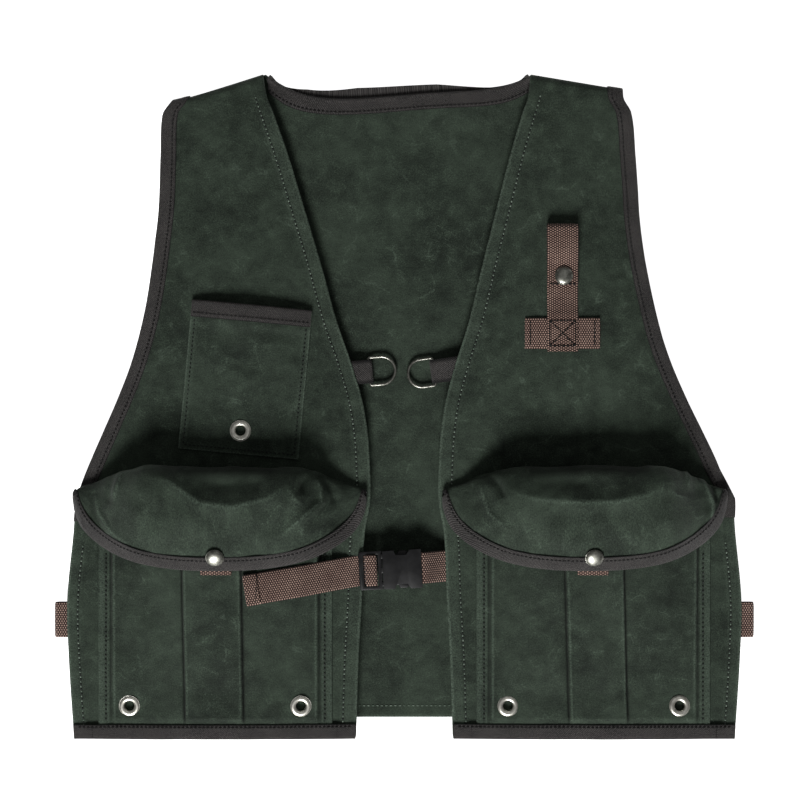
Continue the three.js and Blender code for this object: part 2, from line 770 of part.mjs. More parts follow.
// Chest loop: a flat base across the panel and a strap that folds back over itself
function addChestLoop() {
  const side = SIDES[1];
  const seat = (clothThickness + webbingThickness) / 2 + seatGap;
  const level = (x, y) => frontHeight(side, x, y) + seat;
  const base = steps(-0.5, 0.5, 4).map((share) => {
    const x = chestLoop.x + share * chestBase.length;
    return new THREE.Vector3(x, chestBase.y, level(x, chestBase.y));
  });
  add("chest_loop_base", "webbing", strap(base, new THREE.Vector3(0, 1, 0), webbingWidth, webbingThickness));

  const layer = webbingThickness + seatGap;
  const floor = (y) => level(chestLoop.x, y);
  const at = (y, z) => new THREE.Vector3(chestLoop.x, y, z);
  const over = chestBase.y + webbingWidth / 2;
  const lower = [
    at(chestLoop.foot, floor(chestBase.y) + layer),
    at(over + 1, floor(chestBase.y) + layer),
    at(over + 7, floor(over)),
    at(chestLoop.end - 10, floor(chestLoop.end)),
    at(chestLoop.end + 14, floor(chestLoop.end)),
  ];
  const foldY = chestLoop.top - chestLoop.radius - webbingThickness / 2;
  const foldZ = floor(foldY) + chestLoop.radius;
  const fold = steps(-Math.PI / 2, Math.PI / 2, 6).map((angle) =>
    at(foldY + chestLoop.radius * Math.cos(angle), foldZ + chestLoop.radius * Math.sin(angle)));
  const upper = [
    at(chestLoop.end + 28, foldZ + chestLoop.radius),
    at(chestLoop.end + 16, floor(chestLoop.end) + layer + 0.4),
    at(chestLoop.end, floor(chestLoop.end) + layer),
  ];
  const path = [...lower, ...fold, ...upper];
  add("chest_loop", "webbing", strap(path, new THREE.Vector3(1, 0, 0), webbingWidth, webbingThickness));
  const cap = floor(chestLoop.end) + layer + webbingThickness / 2 + 0.4 + seatGap;
  const place = new THREE.Matrix4().makeTranslation(chestLoop.x + 1, chestLoop.snapUp, cap);
  add("chest_snap", "nickel", snapShape(), place);
}

// D-rings lie on the back panel; each turns on its bar inside a folded tab
const ringAxisRise = backRise + clothThickness / 2 + seatGap + tabThickness + ringBearing + ringWire / 2;

function ringPlace(side) {
  const turn = radians(side.sign > 0 ? 180 + side.ringTurn : side.ringTurn);
  const x = side.sign * side.ringBar + leanAt(ringUp / bodyLength);
  return new THREE.Matrix4().makeRotationZ(turn).setPosition(x, ringUp, ringAxisRise);
}

function ringShape() {
  const halfBar = (ringHeight - ringWire) / 2;
  const straight = ringDepth - ringWire - halfBar;
  const bow = steps(Math.PI / 2, -Math.PI / 2, 10).map((angle) =>
    new THREE.Vector3(straight + halfBar * Math.cos(angle), halfBar * Math.sin(angle), 0));
  const bar = [
    new THREE.Vector3(1.2, -halfBar, 0),
    new THREE.Vector3(0, -halfBar + 1.2, 0),
    new THREE.Vector3(0, halfBar - 1.2, 0),
    new THREE.Vector3(1.2, halfBar, 0),
  ];
  return wireLoop([...bow, ...bar], ringWire, 6);
}

// The tab's two layers are sewn under the front panel and come down to the ring's bar
function tabShape(side) {
  const radius = ringWire / 2 + ringBearing + tabThickness / 2;
  const wrap = steps(Math.PI / 2, -Math.PI / 2, 8).map((angle) =>
    new THREE.Vector3(radius * Math.cos(angle), 0, radius * Math.sin(angle)));
  const toEdge = centreAt(ringUp / bodyLength) - side.ringBar - 2;
  const upper = frontRise - (clothThickness + tabThickness) / 2 - seatGap - ringAxisRise;
  const lower = upper - tabThickness - seatGap;
  const path = [
    new THREE.Vector3(-toEdge - tabTuck, 0, upper),
    new THREE.Vector3(-toEdge, 0, upper),
    ...wrap,
    new THREE.Vector3(-toEdge * 0.6, 0, -radius * 0.7),
    new THREE.Vector3(-toEdge - 3, 0, lower),
    new THREE.Vector3(-toEdge - tabTuck, 0, lower),
  ];
  return strap(path, new THREE.Vector3(0, 1, 0), tabWidth, tabThickness);
}

function addRings() {
  for (const side of SIDES) {
    add(`ring_tab_${side.name}`, "tape", tabShape(side), ringPlace(side));
    add(`d_ring_${side.name}`, "nickel", ringShape(), ringPlace(side));
  }
}

// Buckle parts share one frame: a runs from the mouth towards the wearer's left, b across
const buckleRise = frontRise + clothThickness / 2 + seatGap + webbingThickness + seatGap + ladder.bar / 2;
const strapBarAt = buckleBody.length - strapBar / 2 - seatGap;
const bucklePlace = new THREE.Matrix4()
  .makeRotationZ(radians(buckle.turn))
  .setPosition(buckle.x, buckle.y, buckleRise);

function femaleShape() {
  const half = buckle.width / 2;
  const deep = buckle.thickness / 2;
  const { length, wall, cavity, notchFrom, notchTo, notchDepth } = buckleBody;
  const slotTo = strapBarAt - strapBar / 2;
  const body = block([0, -half, -deep], [length, half, deep]);
  const hollow = block([-1, -half + wall, -deep + wall], [cavity, half - wall, deep - wall]);
  const slot = block([cavity + wall, -half + wall, -deep - 1], [slotTo, half - wall, deep + 1]);
  const barTop = block([slotTo - 1, -half + wall, strapBar / 2], [length + 1, half - wall, deep + 1]);
  const barLow = block([slotTo - 1, -half + wall, -deep - 1], [length + 1, half - wall, -strapBar / 2]);
  const notches = [-1, 1].map((end) =>
    block(
      [notchFrom, Math.min(end * half, end * (half - notchDepth)) - (end < 0 ? 1 : 0), -deep - 1],
      [notchTo, Math.max(end * half, end * (half - notchDepth)) + (end > 0 ? 1 : 0), deep + 1],
    ));
  return cut(body, [hollow, slot, barTop, barLow, ...notches]);
}

function maleShape() {
  const half = buckle.width / 2;
  const { outerBar, slot, innerBar, base, bar, arm } = ladder;
  const { wall, notchFrom, notchTo } = buckleBody;
  const length = outerBar + slot + innerBar + slot + base;
  const plate = block([-length - seatGap, -half, -bar / 2], [-seatGap, half, bar / 2]);
  const slotAt = (from) => block([from, -half + arm, -bar], [from + slot, half - arm, bar]);
  const first = -length - seatGap + outerBar;
  const second = first + slot + innerBar;
  const ladderPlate = cut(plate, [slotAt(first), slotAt(second)]);
  const inside = half - wall - seatGap;
  const prong = (end) => [
    block(
      [-1, Math.min(end * inside, end * (inside - 4)), -1.6],
      [notchTo - 1, Math.max(end * inside, end * (inside - 4)), 1.6],
    ),
    block(
      [notchFrom + 2, Math.min(end * (inside + 2), end * inside - end), -1.6],
      [notchTo - 1, Math.max(end * (inside + 2), end * inside - end), 1.6],
    ),
  ];
  const guide = block([-1, -2.5, -1.6], [notchTo - 4, 2.5, 1.6]);
  return join([ladderPlate, ...prong(1), ...prong(-1), guide]);
}

// The wearer's right strap comes from under the panel, round the ladder, and ends as a free tail
function rightStrapPath() {
  const { outerBar, slot, innerBar, base, bar } = ladder;
  const back = -(base + seatGap);
  const over = bar / 2 + seatGap + webbingThickness / 2;
  const layer = webbingThickness + clothThickness + 2 * seatGap;
  const innerSlot = back - slot / 2;
  const outerSlot = innerSlot - innerBar - slot;
  const outerEdge = outerSlot - slot / 2 - outerBar;
  const start = SIDES[0].sign * centreAt(buckle.y / bodyLength) - buckle.x;
  const at = (a, z, b = 0) => new THREE.Vector3(a, b, z);
  const slope = Math.tan(radians(strapTail.slope));
  // Height at which the tail lies on the cloth below it, anywhere across its width
  const restAt = (a) => {
    const b = (outerEdge - a) * slope;
    const heights = [-1, 0, 1].map((share) => {
      const spot = at(a, 0, b + (share * webbingWidth) / 2).applyMatrix4(bucklePlace);
      const across = SIDES[0].sign * spot.x - pocketCentre;
      return -across < pocketFace / 2 + pocketFlange
        ? bagHeight(SIDES[0], across, spot.y) + bagThickness / 2
        : frontHeight(SIDES[0], spot.x, spot.y) + clothThickness / 2;
    });
    return at(a, Math.max(...heights) + 2 * seatGap + webbingThickness / 2 - buckleRise, b);
  };
  const layFrom = outerEdge - strapTail.length * strapTail.climb;
  return [
    at(start - sideStrapTuck, -over - layer),
    at(outerSlot, -over - layer),
    at(innerSlot - 1.2, -over - layer * 0.95),
    at(innerSlot, -over - layer * 0.6),
    at(innerSlot, over - 0.9),
    at(innerSlot - 1.4, over),
    at(outerSlot + 1.4, over),
    at(outerSlot, over - 0.9),
    at(outerSlot, -over + 0.9),
    at(outerSlot - 1.4, -over),
    at(outerEdge - 2, -over),
    ...steps(layFrom, outerEdge - strapTail.length, 5).map(restAt),
  ];
}

function addFrontStraps() {
  add("buckle_male", "plastic", maleShape(), bucklePlace);
  add("buckle_female", "plastic", femaleShape(), bucklePlace);
  const width = new THREE.Vector3(0, 1, 0);
  const right = strap(rightStrapPath(), width, webbingWidth, webbingThickness);
  add("front_strap_right", "webbing", right, bucklePlace);

  const radius = strapBar / Math.SQRT2 + seatGap + webbingThickness / 2;
  const under = frontRise - clothThickness / 2 - seatGap - webbingThickness / 2 - buckleRise;
  const edge = centreAt(buckle.y / bodyLength) - buckle.x;
  const wrap = steps(Math.PI / 2, (3 * Math.PI) / 2, 6).map((angle) =>
    new THREE.Vector3(strapBarAt + radius * Math.cos(angle), 0, radius * Math.sin(angle)));
  const end = edge + sideStrapTuck;
  const points = [
    new THREE.Vector3(end, 0, under),
    new THREE.Vector3(edge - 2, 0, under),
    new THREE.Vector3(strapBarAt + 4, 0, radius),
    ...wrap,
    new THREE.Vector3(strapBarAt + 3, 0, -radius),
    new THREE.Vector3(edge - 4, 0, under - webbingThickness - seatGap),
    new THREE.Vector3(end, 0, under - webbingThickness - seatGap),
  ];
  const shape = strap(points, width, webbingWidth, webbingThickness);
  add("front_strap_left", "webbing", shape, bucklePlace);
}

// Side straps: folded webbing between the back panel and the front panel
function addSideStraps() {
  const up = sideStrapUp / bodyLength;
  for (const side of SIDES) {
    const edge = sideAt(up);
    const apart = clothThickness / 2 + seatGap + webbingThickness / 2;
    const high = frontHeight(side, side.sign * (edge - 4), sideStrapUp) - apart;
    const low = backRise + backEdgeLift + apart;
    const radius = (high - low) / 2;
    const middle = (high + low) / 2;
    const turnAt = edge + sideStrapReach - radius - webbingThickness / 2;
    const at = (x, z) => new THREE.Vector3(side.sign * x, sideStrapUp, z);
    const fold = steps(Math.PI / 2, -Math.PI / 2, 6).map((angle) =>
      at(turnAt + radius * Math.cos(angle), middle + radius * Math.sin(angle)));
    const points = [at(edge - sideStrapTuck, high), ...fold, at(edge - sideStrapTuck, low)];
    const along = new THREE.Vector3(0, 1, 0);
    add(`side_strap_${side.name}`, "webbing", strap(points, along, sideStrapWidth, webbingThickness));
  }
}

addPanels();
addArmholeBindings();
addNeckBinding();
addHemBindings();
addCargoPockets();
addFlaps();
addFlapSnaps();
addChestPocket();
addChestLoop();
addRings();
addFrontStraps();
addSideStraps();

// The origin is the middle of the underside
const bounds = new THREE.Box3().setFromObject(vest, true);
const middle = bounds.getCenter(new THREE.Vector3());
vest.position.set(-middle.x, -middle.y, -bounds.min.z);
vest.updateMatrixWorld(true);

export default vest;
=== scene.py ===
"""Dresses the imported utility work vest: waxed canvas, bound edges, webbing, buckle, snaps and rings.

Lengths are millimetres in the vest's own frame, where Y is 0 at the front hem. They become metres in
the row's frame when a mesh is made.
"""

import logging
import math
from collections.abc import Callable, Sequence
from dataclasses import dataclass, field
from enum import Enum

import bpy
import numpy as np
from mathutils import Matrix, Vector


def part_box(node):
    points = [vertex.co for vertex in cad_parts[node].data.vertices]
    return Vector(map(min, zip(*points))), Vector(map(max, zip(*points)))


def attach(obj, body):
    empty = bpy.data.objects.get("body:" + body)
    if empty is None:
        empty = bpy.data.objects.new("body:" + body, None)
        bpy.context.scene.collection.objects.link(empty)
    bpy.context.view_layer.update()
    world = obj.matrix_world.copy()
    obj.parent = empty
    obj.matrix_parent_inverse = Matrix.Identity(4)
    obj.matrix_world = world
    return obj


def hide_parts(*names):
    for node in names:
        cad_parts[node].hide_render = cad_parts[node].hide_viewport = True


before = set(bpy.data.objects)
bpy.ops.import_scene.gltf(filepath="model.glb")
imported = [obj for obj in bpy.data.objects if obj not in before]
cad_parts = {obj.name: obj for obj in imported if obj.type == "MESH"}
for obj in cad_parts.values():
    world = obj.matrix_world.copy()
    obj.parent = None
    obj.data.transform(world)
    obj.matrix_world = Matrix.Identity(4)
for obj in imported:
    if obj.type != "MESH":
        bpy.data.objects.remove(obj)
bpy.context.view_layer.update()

log = logging.getLogger("vest")
Array = np.ndarray
Surface = Callable[[Array, Array], Array]
Rgb = tuple[int, int, int]
TAU = 2 * math.pi
QUARTER = math.pi / 2
METRES = 0.001
SQUARE_METRES = 1e-6
X_WAY, Y_WAY, Z_WAY = np.eye(3)


def smooth(low: float, high: float, value: Array | float) -> Array:
    """Rises softly from 0 at low to 1 at high.

    Args:
        low: where the rise starts.
        high: where it ends.
        value: the places to read.

    Returns:
        Shares from 0 to 1.
    """
    t = np.clip((np.asarray(value, float) - low) / (high - low), 0, 1)
    return t * t * (3 - 2 * t)


def lerp(first: Array | float, last: Array | float, share: Array | float) -> Array:
    """Mixes first and last by share."""
    return first + (last - first) * share


def unit(vectors: Array) -> Array:
    """Scales each vector to length 1."""
    return vectors / np.maximum(np.linalg.norm(vectors, axis=-1, keepdims=True), 1e-12)


def bell(distance: Array, width: float) -> Array:
    """A soft bump that is 1 at distance 0 and fades over width."""
    return np.exp(-((distance / width) ** 2))


def curve_through(ups: Sequence[float], values: Sequence[float], up: Array) -> Array:
    """Reads a smooth curve through a table.

    Args:
        ups: the table's places, rising.
        values: the table's values.
        up: the places to read.

    Returns:
        The curve's values.
    """
    u, v = np.asarray(ups, float), np.asarray(values, float)
    low, high = np.r_[u[0], u[:-1]], np.r_[u[1:], u[-1]]
    below, above = np.r_[v[0], v[:-1]], np.r_[v[1:], v[-1]]
    slope = (above - below) / (high - low)
    i = np.clip(np.searchsorted(u, up, side="left") - 1, 0, len(u) - 2)
    span = u[i + 1] - u[i]
    t = np.clip((up - u[i]) / span, 0, 1)
    rise = v[i + 1] - v[i]
    bend_in = slope[i] * span - rise
    bend_out = rise - slope[i + 1] * span
    return v[i] + rise * t + t * (1 - t) * (bend_in * (1 - t) + bend_out * t)


def run_lengths(points: Array) -> Array:
    """Distance along a path at each of its points."""
    return np.r_[0, np.cumsum(np.linalg.norm(np.diff(points, axis=0), axis=1))]


def sampled(path: Array, run: Array, at: Array) -> Array:
    """Reads each column of a path at distances along it.

    Args:
        path: points or directions, one a row.
        run: the distance along the path at each of them.
        at: the distances to read.

    Returns:
        One row for each distance.
    """
    return np.stack([np.interp(at, run, path[:, k]) for k in range(path.shape[1])], axis=1)


def even_path(points: Array, step: float) -> Array:
    """Resamples a path at even steps along a smooth curve through its points.

    Args:
        points: the path's points, one a row.
        step: the distance between samples.

    Returns:
        The new points.
    """
    p = np.asarray(points, float)
    lengths = run_lengths(p)
    count = max(2, int(lengths[-1] / (step * 0.25)))
    dense_at = np.linspace(0, lengths[-1], count)
    columns = [curve_through(lengths, p[:, k], dense_at) for k in range(p.shape[1])]
    dense = np.stack(columns, axis=1)
    run = run_lengths(dense)
    at = np.linspace(0, run[-1], max(2, int(run[-1] / step) + 1))
    return sampled(dense, run, at)


def arc(x: float, y: float, radius: float, start: float, end: float,
        count: int) -> list[tuple[float, float]]:
    """Points of an arc.

    Args:
        x: its centre.
        y: the same along the second direction.
        radius: its radius.
        start: the first angle, in radians.
        end: the last angle.
        count: how many points.

    Returns:
        The points in order.
    """
    turns = np.linspace(start, end, count)
    return [(x + radius * math.cos(t), y + radius * math.sin(t)) for t in turns]


@dataclass(frozen=True)
class Ripples:
    """Soft seeded waves, as cloth has when it lies by itself.

    Attributes:
        seed: which waves.
        wavelength: their usual length.
        height: how far they rise and fall.
        stretch: how much longer they run along Y than across.
        count: how many waves lie over each other.
    """

    seed: int
    wavelength: float
    height: float
    stretch: float = 1.0
    count: int = 16

    def at(self, x: Array, y: Array) -> Array:
        """Reads the waves at points of the plan.

        Args:
            x: places in the plan.
            y: the same along Y.

        Returns:
            The heights.
        """
        draw = np.random.default_rng(self.seed)
        turns = draw.uniform(0, math.pi, self.count)
        sizes = TAU / (self.wavelength * draw.uniform(0.7, 1.5, self.count))
        shifts = draw.uniform(0, TAU, self.count)
        total = np.zeros(np.broadcast(x, y).shape)
        for turn, size, shift in zip(turns, sizes, shifts):
            total += np.cos(size * (x * math.cos(turn) + y * math.sin(turn) / self.stretch) + shift)
        return self.height * total / math.sqrt(self.count / 2)


def waves(x: Array, y: Array, *ripples: Ripples) -> Array:
    """Adds up several ripples at points of the plan."""
    return sum(each.at(x, y) for each in ripples)


@dataclass(frozen=True)
class Crease:
    """A fold line pressed into the cloth or raised from it.

    Attributes:
        points: where it runs, in the plan.
        rise: its height, below 0 for a dent.
        width: how far it spreads to each side.
    """

    points: tuple[tuple[float, float], ...]
    rise: float
    width: float

    def at(self, x: Array, y: Array) -> Array:
        """Reads the crease's height at points of the plan.

        Args:
            x: places in the plan.
            y: the same along Y.

        Returns:
            The heights.
        """
        p = np.asarray(self.points, float)
        lengths = np.linalg.norm(np.diff(p, axis=0), axis=1)
        starts = np.r_[0, np.cumsum(lengths)]
        nearest = np.full(np.broadcast(x, y).shape, 1e9)
        along = np.zeros_like(nearest)
        for i, length in enumerate(lengths):
            way = (p[i + 1] - p[i]) / length
            share = (x - p[i, 0]) * way[0] + (y - p[i, 1]) * way[1]
            t = np.clip(share, 0, length)
            apart = np.hypot(x - p[i, 0] - way[0] * t, y - p[i, 1] - way[1] * t)
            closer = apart < nearest
            nearest = np.where(closer, apart, nearest)
            along = np.where(closer, starts[i] + t, along)
        taper = np.sin(math.pi * np.clip(along / starts[-1], 0.02, 0.98)) ** 0.6
        return self.rise * taper * bell(nearest, self.width)


def seen(*places: tuple[float, float]) -> tuple[tuple[float, float], ...]:
    """Plan points of places given in steps of 0.825 mm, to the right and down from a corner.

    Args:
        places: steps to the right and steps down, for each place.

    Returns:
        The points in the vest's own frame.
    """
    middle, hem, scale = 404.4, 737.5, 0.825
    return tuple(((right - middle) * scale, (hem - down) * scale) for right, down in places)


@dataclass
class Meshed:
    """Points and faces of one closed mesh.

    Attributes:
        points: positions, one a row.
        quads: four-sided faces.
        cloth: for each point, its place along and across the cloth, and how worn it is, where values below
            0 stand for seam grime and painted shade.
        caps: faces with any number of sides.
    """

    points: Array
    quads: Array
    cloth: Array
    caps: list[list[int]] = field(default_factory=list)

    def outward(self) -> "Meshed":
        """Turns the faces outwards and returns the mesh."""
        p = self.points - self.points.mean(axis=0)
        q = self.quads
        volume = 0.0
        for a, b, c in ((0, 1, 2), (0, 2, 3)):
            volume += np.einsum("ij,ij->i", p[q[:, a]], np.cross(p[q[:, b]], p[q[:, c]])).sum()
        for cap in self.caps:
            for i in range(1, len(cap) - 1):
                volume += np.dot(p[cap[0]], np.cross(p[cap[i]], p[cap[i + 1]]))
        if volume < 0:
            self.quads = q[:, ::-1]
            self.caps = [cap[::-1] for cap in self.caps]
        return self


def joined(parts: Sequence[Meshed]) -> Meshed:
    """Puts several meshes into one.

    Args:
        parts: the meshes.

    Returns:
        One mesh with all their faces.
    """
    quads, caps, start = [], [], 0
    for part in parts:
        quads.append(part.quads + start)
        caps += [[k + start for k in cap] for cap in part.caps]
        start += len(part.points)
    points = np.concatenate([part.points for part in parts])
    cloth = np.concatenate([part.cloth for part in parts])
    return Meshed(points, np.concatenate(quads), cloth, caps)


def grid_quads(rows: int, columns: int, loop: bool = False) -> Array:
    """Faces between rows of points.

    Args:
        rows: how many rows.
        columns: points in a row.
        loop: True if each row closes on itself.

    Returns:
        Four indices for each face.
    """
    j, i = np.meshgrid(np.arange(rows - 1), np.arange(columns if loop else columns - 1), indexing="ij")
    k = (i + 1) % columns
    here, above = j * columns, (j + 1) * columns
    return np.stack([here + i, here + k, above + k, above + i], axis=-1).reshape(-1, 4)


def grid_normals(points: Array) -> Array:
    """Upward normals of a grid of points.

    Args:
        points: the grid, a row of points in each row.

    Returns:
        A normal for each point.
    """
    across = np.gradient(points, axis=1)
    along = np.gradient(points, axis=0)
    normals = unit(np.cross(across, along))
    return normals if normals[..., 2].mean() > 0 else -normals


def pierced(quads: Array, inside: Array, count: int) -> Array:
    """Cuts holes through the two faces of a sheet and closes their walls.

    Args:
        quads: the upper face.
        inside: for each point, how far it lies inside a hole's edge.
        count: how many points a face has.

    Returns:
        The faces of both sides and of the walls.
    """
    gone = inside[quads].mean(axis=1) > 0
    kept, cut = quads[~gone], quads[gone]
    sides = np.concatenate([np.stack([cut[:, k], cut[:, (k + 1) % 4]], axis=1) for k in range(4)])
    paired = {(int(b), int(a)) for a, b in sides}
    rim = np.array([side for side in sides if tuple(side) not in paired])
    walls = np.stack([rim[:, 0], rim[:, 1], rim[:, 1] + count, rim[:, 0] + count], axis=1)
    return np.concatenate([kept, (kept + count)[:, ::-1], walls])


def shell(points: Array, thickness: float, cloth: Array, relief: Array | float = 0.0,
          holes: Array | None = None) -> Meshed:
    """A sheet of cloth with rounded edges.

    Args:
        points: its middle surface, a grid of points.
        thickness: how thick it is.
        cloth: for each point, its place along and across, and how worn it is, where values below 0 stand
            for seam grime and painted shade.
        relief: extra height of its upper face.
        holes: for each point, how far it lies inside a hole's edge.

    Returns:
        The closed mesh.
    """
    rows, columns = points.shape[:2]
    normals = grid_normals(points)
    relief = np.broadcast_to(relief, (rows, columns))[..., None]
    top = points + normals * (thickness / 2 + relief)
    low = points - normals * thickness / 2
    index = np.arange(rows * columns).reshape(rows, columns)
    edge = np.concatenate([index[0, :-1], index[:-1, -1], index[-1, :0:-1], index[:0:-1, 0]])
    inner = np.clip(np.stack(np.divmod(edge, columns), 1), 1, [rows - 2, columns - 2])
    out = unit(points.reshape(-1, 3)[edge] - points[inner[:, 0], inner[:, 1]])
    middle = (top.reshape(-1, 3)[edge] + low.reshape(-1, 3)[edge]) / 2 + out * thickness * 0.4
    count = rows * columns
    quads = grid_quads(rows, columns)
    here, after = np.arange(len(edge)), np.roll(np.arange(len(edge)), -1)
    rim = 2 * count
    upper = np.stack([edge, rim + here, rim + after, edge[after]], axis=1)
    lower = np.stack([rim + here, count + edge, count + edge[after], rim + after], axis=1)
    faces = np.concatenate([quads, (quads + count)[:, ::-1], upper, lower])
    if holes is not None:
        faces = np.concatenate([pierced(quads, holes.reshape(-1), count), upper, lower])
    every = np.concatenate([top.reshape(-1, 3), low.reshape(-1, 3), middle])
    flat = cloth.reshape(-1, 3)
    return Meshed(every, faces, np.concatenate([flat, flat, flat[edge]])).outward()


def section_sweep(rings: Array, cloth: Array, closed: bool = False) -> Meshed:
    """A solid through rings of points.

    Args:
        rings: one ring a row, each a closed outline.
        cloth: the cloth values of the points.
        closed: True if the last ring joins the first.

    Returns:
        The closed mesh.
    """
    count, size = rings.shape[:2]
    quads = grid_quads(count, size, loop=True)
    caps = []
    if closed:
        i = np.arange(size)
        last = (count - 1) * size
        after = (i + 1) % size
        quads = np.concatenate([quads, np.stack([last + i, last + after, after, i], axis=1)])
    else:
        caps = [list(range(size))[::-1], list(range((count - 1) * size, count * size))]
    return Meshed(rings.reshape(-1, 3), quads, cloth.reshape(-1, 3), caps).outward()


@dataclass(frozen=True)
class Band:
    """A flat band's cross-section: webbing or tape.

    Attributes:
        width: across.
        thickness: through.
        samples: points across its face.
        edge: how rounded its long edges are, as a share of the thickness.
    """

    width: float
    thickness: float
    samples: int = 14
    edge: float = 0.75

    def along(self, path: Array, across: Array, shift: float = 0.0) -> Meshed:
        """Sweeps the band along a path.

        Args:
            path: the band's middle line.
            across: its width direction, one for all points or one each.
            shift: moves the weave, so that two bands differ.

        Returns:
            The closed mesh.
        """
        side = unit(np.broadcast_to(across, path.shape))
        tangent = unit(np.gradient(path, axis=0))
        up = unit(np.cross(tangent, side))
        share = np.sin(np.linspace(-1, 1, self.samples) * math.pi / 2)
        height = self.thickness / 2 * (1 - self.edge * np.abs(share) ** 10)
        outline = np.concatenate([
            np.stack([share * self.width / 2, height], axis=1),
            np.stack([share[::-1] * self.width / 2, -height[::-1]], axis=1),
        ])
        rings = path[:, None] + side[:, None] * outline[None, :, :1] + up[:, None] * outline[None, :, 1:]
        run = run_lengths(path)
        cloth = np.zeros(rings.shape)
        cloth[..., 0] = run[:, None] + shift
        cloth[..., 1] = outline[None, :, 0] + np.where(outline[None, :, 1] < 0, 3.7, 0)
        cloth[..., 2] = np.abs(outline[None, :, 0]) / (self.width / 2)
        return section_sweep(rings, cloth)


def folded_tape(points: Array, normals: Array, out: Array, over: float, under: float,
                thickness: float, gap: float, overlap: Array | float = 0.0) -> Meshed:
    """Tape folded round a cloth edge.

    Args:
        points: for each station, samples of the cloth from the tape's inner border to the edge.
        normals: the cloth's normals there.
        out: for each station, the direction out of the cloth.
        over: height of the tape's upper leaf above the cloth's middle.
        under: depth of its lower leaf.
        thickness: of the tape.
        gap: between the cloth's edge and the fold.
        overlap: how far the lower leaf runs on beyond the fold.

    Returns:
        The closed mesh.
    """
    samples = points.shape[1]
    edge, up = points[:, -1], normals[:, -1]
    middle, half = (over - under) / 2, (over + under) / 2
    turns = np.linspace(math.pi / 2, -math.pi / 2, 7)[1:-1]

    def leaf(height: float, soften: float, order: slice) -> Array:
        """One leaf's face.

        Args:
            height: its height above the cloth's middle.
            soften: how far its inner border is drawn in.
            order: forward, or backward from the edge.

        Returns:
            The points of each station.
        """
        heights = np.full(samples, height)
        heights[0] -= soften
        return (points + normals * heights[None, :, None])[:, order]

    def fold(reach: float, deep: float, order: slice) -> Array:
        """The round of the fold.

        Args:
            reach: how far it stands out beyond the edge.
            deep: half its height.
            order: forward, or backward from the lower leaf.

        Returns:
            The points of each station.
        """
        arc = [edge + out * reach * math.cos(t) + up * (middle + deep * math.sin(t)) for t in turns]
        return np.stack(arc, axis=1)[:, order]

    forward, backward = slice(None), slice(None, None, -1)
    reach = gap + thickness
    rings = [leaf(over + thickness, thickness * 0.4, forward), fold(reach, half + thickness, forward)]
    if np.any(overlap):
        low = -under - thickness
        far = edge + out * (reach + overlap)
        rings[1] = rings[1][:, :3]
        rings.append(np.stack([
            edge + out * (reach + 0.3) + up * (-under + 0.05), far + up * -under, far + up * low,
            edge + out * reach + up * low,
        ], axis=1))
    rings.append(leaf(-under - thickness, -thickness * 0.4, backward))
    rings.append(leaf(-under, 0, forward))
    rings.append(fold(gap, half, backward))
    rings.append(leaf(over, 0, backward))
    ring = np.concatenate(rings, axis=1)
    run = run_lengths(edge)
    around = np.linalg.norm(np.diff(ring[0], axis=0, prepend=ring[0][:1]), axis=1).cumsum()
    cloth = np.zeros(ring.shape)
    cloth[..., 0] = run[:, None]
    cloth[..., 1] = around[None, :]
    # Marks the inner borders of both leaves for the tape's painted shadow line.
    cloth[:, 0, 2] = cloth[:, -1, 2] = 1
    return section_sweep(ring, cloth)


def turned(profile: Sequence[tuple[float, float]], facets: int) -> Meshed:
    """A shape turned about Z.

    Args:
        profile: radius and height, a closed outline or one that starts and ends on the axis.
        facets: how many steps round.

    Returns:
        The closed mesh.
    """
    r, z = np.asarray(profile, float).T
    angle = np.linspace(0, TAU, facets, endpoint=False)[:, None]
    rings = np.stack([r * np.cos(angle), r * np.sin(angle), z + 0 * angle], axis=-1)
    cloth = np.zeros(rings.shape)
    cloth[..., 0], cloth[..., 1] = angle * 5, z
    return section_sweep(rings, cloth, closed=True)


def wire(path: Array, up: Array, radius: float, facets: int = 14) -> Meshed:
    """Round wire along a path that closes on itself.

    Args:
        path: its middle line.
        up: a direction square to the path's plane.
        radius: of the wire.
        facets: points round the section.

    Returns:
        The closed mesh.
    """
    tangent = unit(np.roll(path, -1, axis=0) - np.roll(path, 1, axis=0))
    side = np.cross(tangent, up)
    angle = np.linspace(0, TAU, facets, endpoint=False)
    rings = (path[:, None] + side[:, None] * (radius * np.cos(angle))[None, :, None]
             + np.asarray(up)[None, None] * (radius * np.sin(angle))[None, :, None])
    return section_sweep(rings, rings.copy(), closed=True)


STITCH_SIDES = 6
# Sections along a stitch: the place as a share of its length, and the thickness and height as shares
# of its width.
STITCH_SECTIONS = (
    (-0.5, 0.25, -0.35), (-0.36, 0.8, -0.05), (0.0, 1.0, 0.1), (0.36, 0.8, -0.05), (0.5, 0.25, -0.35),
)


